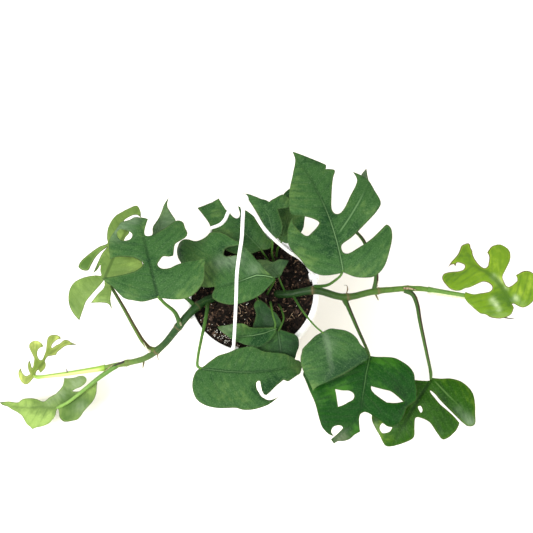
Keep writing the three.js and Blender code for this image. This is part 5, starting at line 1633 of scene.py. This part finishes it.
@dataclass
class LeafMaker:
    """Cuts, veins and bends the blade of a leaf, and grows its stalk.

    Sizes are in millimetres. The side veins lean by a share of their distance to the midrib, and curve by
    a share of its square. Groove, bulge, curl and drift are the depths and heights of the blade's relief:
    along the midrib, between the side veins, at the edge and anywhere.
    """

    leaf: Leaf
    thickness: float = 0.6
    cell: float = 1.9
    edge_step: float = 2.0
    hole_step: float = 1.6
    vein_lean: float = 0.42
    vein_curve: float = 0.0042
    groove: float = 0.55
    bulge: float = 0.42
    curl: float = 0.9
    drift: float = 1.1
    seed: float = 0.0

    def point(self, u: float, v: float, lift: float) -> Vector:
        """A point of the leaf, in metres.

        Args:
            u: Along the leaf, in millimetres.
            v: Across it.
            lift: Above its middle surface.

        Returns:
            The point where the leaf hangs.
        """
        leaf = self.leaf
        sweep, droop = math.radians(leaf.sweep) / leaf.length, math.radians(leaf.droop) / leaf.length
        if sweep:
            across = (1 - math.cos(sweep * u)) / sweep + v * math.cos(sweep * u)
            along = math.sin(sweep * u) / sweep - v * math.sin(sweep * u)
        else:
            across, along = v, u
        side = (v > 0) - (v < 0)
        ripple = leaf.wave * math.sin(0.13 * u + 0.4 * side) * min(1, (v / 30) ** 2)
        height = abs(v) * math.tan(math.radians(leaf.fold)) + ripple + lift / leaf.size
        bent = Vector((math.sin(droop * along) / droop + height * math.sin(droop * along), across,
                       (math.cos(droop * along) - 1) / droop + height * math.cos(droop * along)))
        bent = turned(turned(bent * leaf.size, "Y", -leaf.pitch), "Z", leaf.heading)
        return (bent + Vector(leaf.base)) * MM

    def build(self, shop: Workshop) -> None:
        """Makes the blade and the stalk."""
        self._blade(shop)
        self._stalk(shop)

    def _cut(self, bm: bmesh.types.BMesh) -> kdtree.KDTree:
        """Fills the flat outline and divides it into small cells.

        Args:
            bm: The empty mesh.

        Returns:
            The points of the outline and the holes, to measure the distance to the edge.
        """
        edges = []
        for k, outline in enumerate((self.leaf.edge, *self.leaf.holes)):
            verts = [bm.verts.new(point)
                     for point in smooth_ring(outline, self.hole_step if k else self.edge_step)]
            edges += [bm.edges.new((verts[i - 1], verts[i])) for i in range(len(verts))]
        rim = [a.lerp(b, t / 4) for a, b in ((e.verts[0].co, e.verts[1].co) for e in edges) for t in range(4)]
        tree = kdtree.KDTree(len(rim))
        for k, point in enumerate(rim):
            tree.insert(point, k)
        tree.balance()
        bmesh.ops.triangle_fill(bm, use_beauty=True, edges=edges, normal=(0, 0, 1))
        for axis in (0, 1):
            normal = Vector((axis == 0, axis == 1, 0))
            low = min(v.co[axis] for v in bm.verts)
            high = max(v.co[axis] for v in bm.verts)
            at = low + self.cell * 0.53
            while at < high:
                bmesh.ops.bisect_plane(bm, geom=[*bm.verts, *bm.edges, *bm.faces], dist=1e-4,
                                       plane_co=normal * at, plane_no=normal)
                at += self.cell
        slanted = [e for e in bm.edges if not e.is_boundary
                   and min(abs(c) for c in (e.verts[0].co - e.verts[1].co).to_2d()) > 1e-3]
        bmesh.ops.dissolve_edges(bm, edges=slanted, use_verts=False, use_face_split=False)
        loose = [v for v in bm.verts if len(v.link_edges) == 2 and not v.is_boundary]
        bmesh.ops.dissolve_verts(bm, verts=loose, use_face_split=False, use_boundary_tear=False)
        for face in bm.faces:
            if face.normal.z < 0:
                face.normal_flip()
        return tree

    def _blade(self, shop: Workshop) -> None:
        """Makes the blade.

        Args:
            shop: The workshop that takes it.
        """
        leaf = self.leaf
        bm = bmesh.new()
        tree = self._cut(bm)
        layers = [bm.verts.layers.float.new(name) for name in BLADE_MARKS]
        spacing = 6.0 + leaf.length * 0.035
        for vert in bm.verts:
            u, v = vert.co.x, vert.co.y
            across = v - between(leaf.rib, u)
            reach = abs(across)
            edge = tree.find(vert.co)[2]
            wobble = 0.35 * noise.noise(Vector((u * 0.022, v * 0.022, self.seed)))
            lag = self.vein_lean * reach
            vein = (u - lag - self.vein_curve * reach * reach) / spacing + wobble + (0.5 if across < 0 else 0)
            # tint: the leaf's own tone with painted light and shade; bloom: waxy bloom with painted
            # highlights
            values = (across, vein, edge, self._amount(leaf.tone_and_painted_light, u, v), self._amount(leaf.blooms_and_sheen, u, v),
                      *self._rib(u - leaf.foot[0]), *self._lobe(u, v))
            for layer, value in zip(layers, values):
                vert[layer] = value
            vert.co = self.point(u, v, self.thickness / 2 + self._relief(u, v, reach, edge, vein))
        finish = LEAF_FINISHES[leaf.tone]
        materials = [shop.material(finish), shop.material(finish, True)]
        slot = "young_leaf" if leaf.tone in YOUNG_TONES else "leaf"
        piece = shop.piece(f"leaf_{leaf.name}", bm, materials, slot, [f"blade_{leaf.name}"])
        sheet = piece.modifiers.new("blade thickness", "SOLIDIFY")
        sheet.thickness = self.thickness * MM
        sheet.offset = -1
        sheet.material_offset = 1
        sheet.material_offset_rim = 0

    def _amount(self, places: Sequence[Point4], u: float, v: float) -> float:
        """How strongly soft places of the leaf reach a point, as their sum."""
        return sum(amount * math.exp(-((u - a) ** 2 + (v - b) ** 2) / reach ** 2)
                   for a, b, reach, amount in places)

    def _rib(self, start: float) -> tuple[float, float, float]:
        """How strongly the midrib shows, which fades along the leaf.

        Args:
            start: The distance from the foot of the blade.

        Returns:
            The strengths of its pale line, of the painted shade along its groove, and of its soft band of
            painted sheen and shade.
        """
        length = self.leaf.length
        strength = fade(start, -2, 2) * (1 - 0.7 * fade(start, 0.3 * length, length))
        pale, groove, band = (look * strength for look in self.leaf.rib_look.value)
        return pale * (1 - fade(start, 0.3 * length, 0.7 * length)), groove, band

    def _lobe(self, u: float, v: float) -> Pair:
        """Finds the nearest lobe rib.

        Args:
            u: Along the leaf.
            v: Across it.

        Returns:
            How far the point is to one side of the rib, and how strongly the rib shows there.
        """
        nearest = (20.0, 0.0)
        for rib in self.leaf.lobe_ribs:
            for k, (start, end) in enumerate(zip(rib, rib[1:])):
                run, here = Vector(end) - Vector(start), Vector((u, v)) - Vector(start)
                share = min(max(here.dot(run) / run.length_squared, 0), 1)
                aside = here - run * share
                side = 1 if run.x * here.y - run.y * here.x > 0 else -1
                if aside.length < abs(nearest[0]):
                    reached = (k + share) / (len(rib) - 1)
                    nearest = (side * aside.length, fade(reached, 0, 0.3) * (1 - fade(reached, 0.6, 1)))
        return nearest

    def _relief(self, u: float, v: float, reach: float, edge: float, vein: float) -> float:
        """How far the surface stands above the plain leaf, in millimetres.

        Args:
            u: Along the leaf.
            v: Across it.
            reach: The distance to the midrib.
            edge: The distance to the edge.
            vein: The count of side veins up to here.

        Returns:
            The height.
        """
        groove = -self.groove * peak(reach, 0, 1.4) * fade(u - self.leaf.foot[0], -3, 3)
        swollen = 0.5 + 0.5 * math.cos(2 * math.pi * vein)
        bulge = self.bulge * swollen * fade(reach, 1.5, 9) * fade(edge, 0.5, 8)
        curl = -self.curl * (1 - fade(edge, 0, 7))
        rise = noise.noise(Vector((u * 0.028, v * 0.028, self.seed + 5)))
        return groove + bulge + curl + self.drift * rise * fade(math.hypot(u, v), 2, 25)

    @property
    def thick(self) -> float:
        """The stalk's middling radius, in millimetres."""
        return (1.25 + self.leaf.length * 0.006) * self.leaf.stout

    def radius(self, share: float) -> float:
        """The stalk's radius: thicker at its foot, with a slight joint below the blade.

        Args:
            share: The share of the stalk's length.

        Returns:
            The radius in metres.
        """
        joint = 0.16 * peak(share, 0.93, 0.035)
        foot = 0.25 * peak(share, 0, 0.06) if self.leaf.root is not Root.SOIL else 0
        return self.thick * (1.8 - 0.82 * share ** 0.7 + joint + foot) * MM

    def line(self, step: float) -> list[Vector]:
        """The middle of the stalk, from its stem to the foot of the blade.

        Args:
            step: The distance between its points, in millimetres.

        Returns:
            Its points, in metres.
        """
        u, v = self.leaf.foot
        end = self.point(u, v, 0.2) if u else self.point(2.2, 0, -0.6 * self.thick)
        return smooth_path([*self.leaf.stalk, tuple(end / MM)], step)

    def _stalk(self, shop: Workshop) -> None:
        """Makes the leaf stalk.

        Args:
            shop: The workshop that takes it.
        """
        bm = bmesh.new()
        tube(bm, self.line(1.6), self.radius, 12)
        close_tube(bm)
        name = self.leaf.name
        skin = shop.material(STALK_SKINS.get(name, STALK_GREEN))
        shop.piece(f"stalk_{name}", bm, [skin], "stalk", [f"petiole_{name}"])


@dataclass(frozen=True)
class Sheath:
    """A thin wrap or wing left along the foot of a leaf stalk.

    It runs between two shares of the stalk's length, on the side that leans points to, with its width in
    millimetres. A wing stands out from the stalk, and a wrap lies on it.
    """

    leaf: str
    finish: GritFinish
    span: Pair
    leans: Point3
    width: float
    wing: bool = False

    def build(self, shop: Workshop) -> None:
        """Makes the sheath on its stalk.

        Args:
            shop: The workshop that takes it.
        """
        maker = LeafMaker(next(leaf for leaf in LEAVES if leaf.name == self.leaf))
        stalk = maker.line(0.8)
        first, last = (round(share * (len(stalk) - 1)) for share in self.span)
        line, leans = [], Vector(self.leans)
        across = leans
        for k in range(first, last + 1):
            ahead = (stalk[min(k + 1, len(stalk) - 1)] - stalk[max(k - 1, 0)]).normalized()
            out = (leans - ahead * leans.dot(ahead)).normalized()
            stand = maker.radius(k / (len(stalk) - 1)) * 0.9 + (self.width * 0.4 * MM if self.wing else 0)
            line.append(stalk[k] + out * stand)
            if k == first:
                across = out if self.wing else ahead.cross(out).normalized()
        bm = bmesh.new()
        tube(bm, line, self._half_width, 10, flat=0.22, facing=across)
        close_tube(bm)
        for vert in bm.verts:
            vert.co += Vector((0.3, 0.3, 0.3)) * (MM * noise.noise(vert.co * 500))
        shop.piece(f"sheath_{self.leaf}", bm, [shop.material(self.finish)], "stalk")

    def _half_width(self, share: float) -> float:
        """Half the sheath's width in metres at a share of its length: full at its foot, thin at its tip."""
        return self.width / 2 * (0.35 + 0.65 * fade(share, 0, 0.12)) * (1 - share) ** 0.55 * MM + 0.1 * MM


SHEATHS: tuple[Sheath, ...] = (
    Sheath("top_small", PAPERY_SHEATH, (0.02, 0.2), (1, -0.4, 0.5), 2.6),
    Sheath("left_large", FADED_SHEATH, (0.02, 0.22), (0.4, -0.6, 0.7), 2.6),
    Sheath("right_front", DRY_SHEATH, (0.12, 0.32), (1, 0, 0.3), 2.0),
    Sheath("left_outer", PAPERY_SHEATH, (0.05, 0.2), (-0.5, -0.7, 0.5), 2.2),
    Sheath("right_tip", PALE_SHEATH, (0.0, 0.62), (-0.3, -1, -0.1), 3.6, wing=True),
    Sheath("left_tip_lower", DRY_SHEATH, (0.0, 0.3), (-0.3, 0.8, 0.6), 3.2),
)


@dataclass(frozen=True)
class DriedBit:
    """A withered end, bract or scale that stays on the plant: a thin tapering curl, in millimetres."""

    name: str
    finish: GritFinish
    radius: float
    path: tuple[Point3, ...]

    def build(self, shop: Workshop) -> None:
        """Makes the curl.

        Args:
            shop: The workshop that takes it.
        """
        bm = bmesh.new()
        tube(bm, smooth_path(self.path, 0.6), lambda share: self.radius * MM * (1.05 - share) ** 0.6, 8,
             flat=0.8)
        close_tube(bm)
        shop.piece(self.name, bm, [shop.material(self.finish)], "stalk")


DRIED_BITS: tuple[DriedBit, ...] = (
    DriedBit("withered_end_right", WITHERED, 1.1, (
        (266, -70, 135.2), (270.6, -71.9, 134), (276, -73.5, 133), (280, -74.3, 132.6),
        (284.6, -75.8, 132.8),
    )),
    DriedBit("bract_left", WITHERED, 0.8,
             ((-229.8, -45.4, 47.6), (-229.7, -43.4, 49.6), (-230.2, -41.6, 51.4))),
    DriedBit("dry_tip_left", PAPERY_SHEATH, 1.0,
             ((-123.9, -49.2, 94.5), (-127.1, -44.6, 98), (-129.5, -38.3, 102))),
    DriedBit("dry_scale_left", WITHERED, 1.5,
             ((-158.5, -46, 64.2), (-166.8, -47.1, 61.2), (-174.4, -48.4, 58.6))),
    DriedBit("dry_scale_right", DRY_SHEATH, 1.4,
             ((170.5, -19, 120.8), (178, -20.5, 120.6), (184.5, -23, 119.8))),
)


@dataclass(frozen=True)
class Lamp:
    """A square soft light: its place and side in metres, its power in watts and its colour."""

    name: str
    at: Point3
    size: float
    power: float
    colour: Colour


@dataclass
class Studio:
    """The camera, the floor and the soft lights. The camera's place is in millimetres."""

    camera_at: Point3 = (20, -420.3, 1176.6)
    elevation: float = 67.0
    roll: float = 7.0
    lens: float = 67.54
    sensor: float = 36.0
    floor_size: float = 4.0
    floor_paint: tuple[Colour, Colour] = ((0.96, 0.92, 0.84), (0.95, 0.91, 0.83))
    lamps: tuple[Lamp, ...] = (
        Lamp("key", (-1.1, -0.6, 1.45), 1.1, 40, (1.0, 0.99, 0.98)),
        Lamp("fill", (0.7, -1.0, 1.7), 1.6, 27, (1.0, 1.0, 1.0)),
    )
    lamps_aim: Point3 = (0, 0, 0.12)
    room_light: float = 0.8

    def build(self) -> None:
        """Sets the scene up."""
        scene = bpy.context.scene
        scene.view_settings.view_transform = "Standard"
        data = bpy.data.cameras.new("camera")
        data.lens = self.lens
        data.sensor_width = self.sensor
        camera = bpy.data.objects.new("camera", data)
        tip, spin = math.radians(self.elevation), math.radians(self.roll)
        back = Vector((0, -math.cos(tip), math.sin(tip)))
        level, rise = Vector((1, 0, 0)), Vector((0, math.sin(tip), math.cos(tip)))
        right = level * math.cos(spin) - rise * math.sin(spin)
        up = level * math.sin(spin) + rise * math.cos(spin)
        turn = Matrix((right, up, back)).transposed().to_4x4()
        camera.matrix_world = Matrix.Translation(Vector(self.camera_at) * MM) @ turn
        scene.collection.objects.link(camera)
        scene.camera = camera
        self._floor()
        for lamp in self.lamps:
            self._light(lamp)
        world = bpy.data.worlds.new("soft_room")
        world.use_nodes = True
        background = world.node_tree.nodes["Background"]
        background.inputs["Color"].default_value = (1, 1, 1, 1)
        background.inputs["Strength"].default_value = self.room_light
        scene.world = world

    def _floor(self) -> None:
        """Lays the plain pale floor."""
        bm = bmesh.new()
        bmesh.ops.create_grid(bm, x_segments=1, y_segments=1, size=self.floor_size / 2)
        mesh = bpy.data.meshes.new("floor")
        bm.to_mesh(mesh)
        bm.free()
        n = Nodes("floor_paint")
        shade = n.blend(n.cloud(6, 2), *self.floor_paint)
        mesh.materials.append(n.finish(Base_Color=shade, Roughness=0.8, Specular_IOR_Level=0.2))
        floor = bpy.data.objects.new("floor", mesh)
        bpy.context.collection.objects.link(floor)

    def _light(self, lamp: Lamp) -> None:
        """Hangs a lamp and aims it at the plant.

        Args:
            lamp: The lamp.
        """
        data = bpy.data.lights.new(lamp.name, "AREA")
        data.size = lamp.size
        data.energy = lamp.power
        data.color = lamp.colour
        light = bpy.data.objects.new(lamp.name, data)
        aim = Vector(self.lamps_aim) - Vector(lamp.at)
        light.matrix_world = Matrix.Translation(lamp.at) @ aim.to_track_quat("-Z", "Y").to_matrix().to_4x4()
        bpy.context.collection.objects.link(light)


def main() -> None:
    """Builds the plant piece by piece."""
    logging.basicConfig(level=logging.INFO, format="%(message)s")
    Studio().build()
    shop = Workshop()
    Pot().build(shop)
    SoilBed().build(shop)
    Hanger().build(shop)
    for stem in STEMS:
        TrailingStem(stem).build(shop)
    for k, leaf in enumerate(LEAVES):
        LeafMaker(leaf, seed=7.3 * k).build(shop)
    for sheath in SHEATHS:
        sheath.build(shop)
    for bit in DRIED_BITS:
        bit.build(shop)
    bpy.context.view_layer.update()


if __name__ == "__main__":
    main()
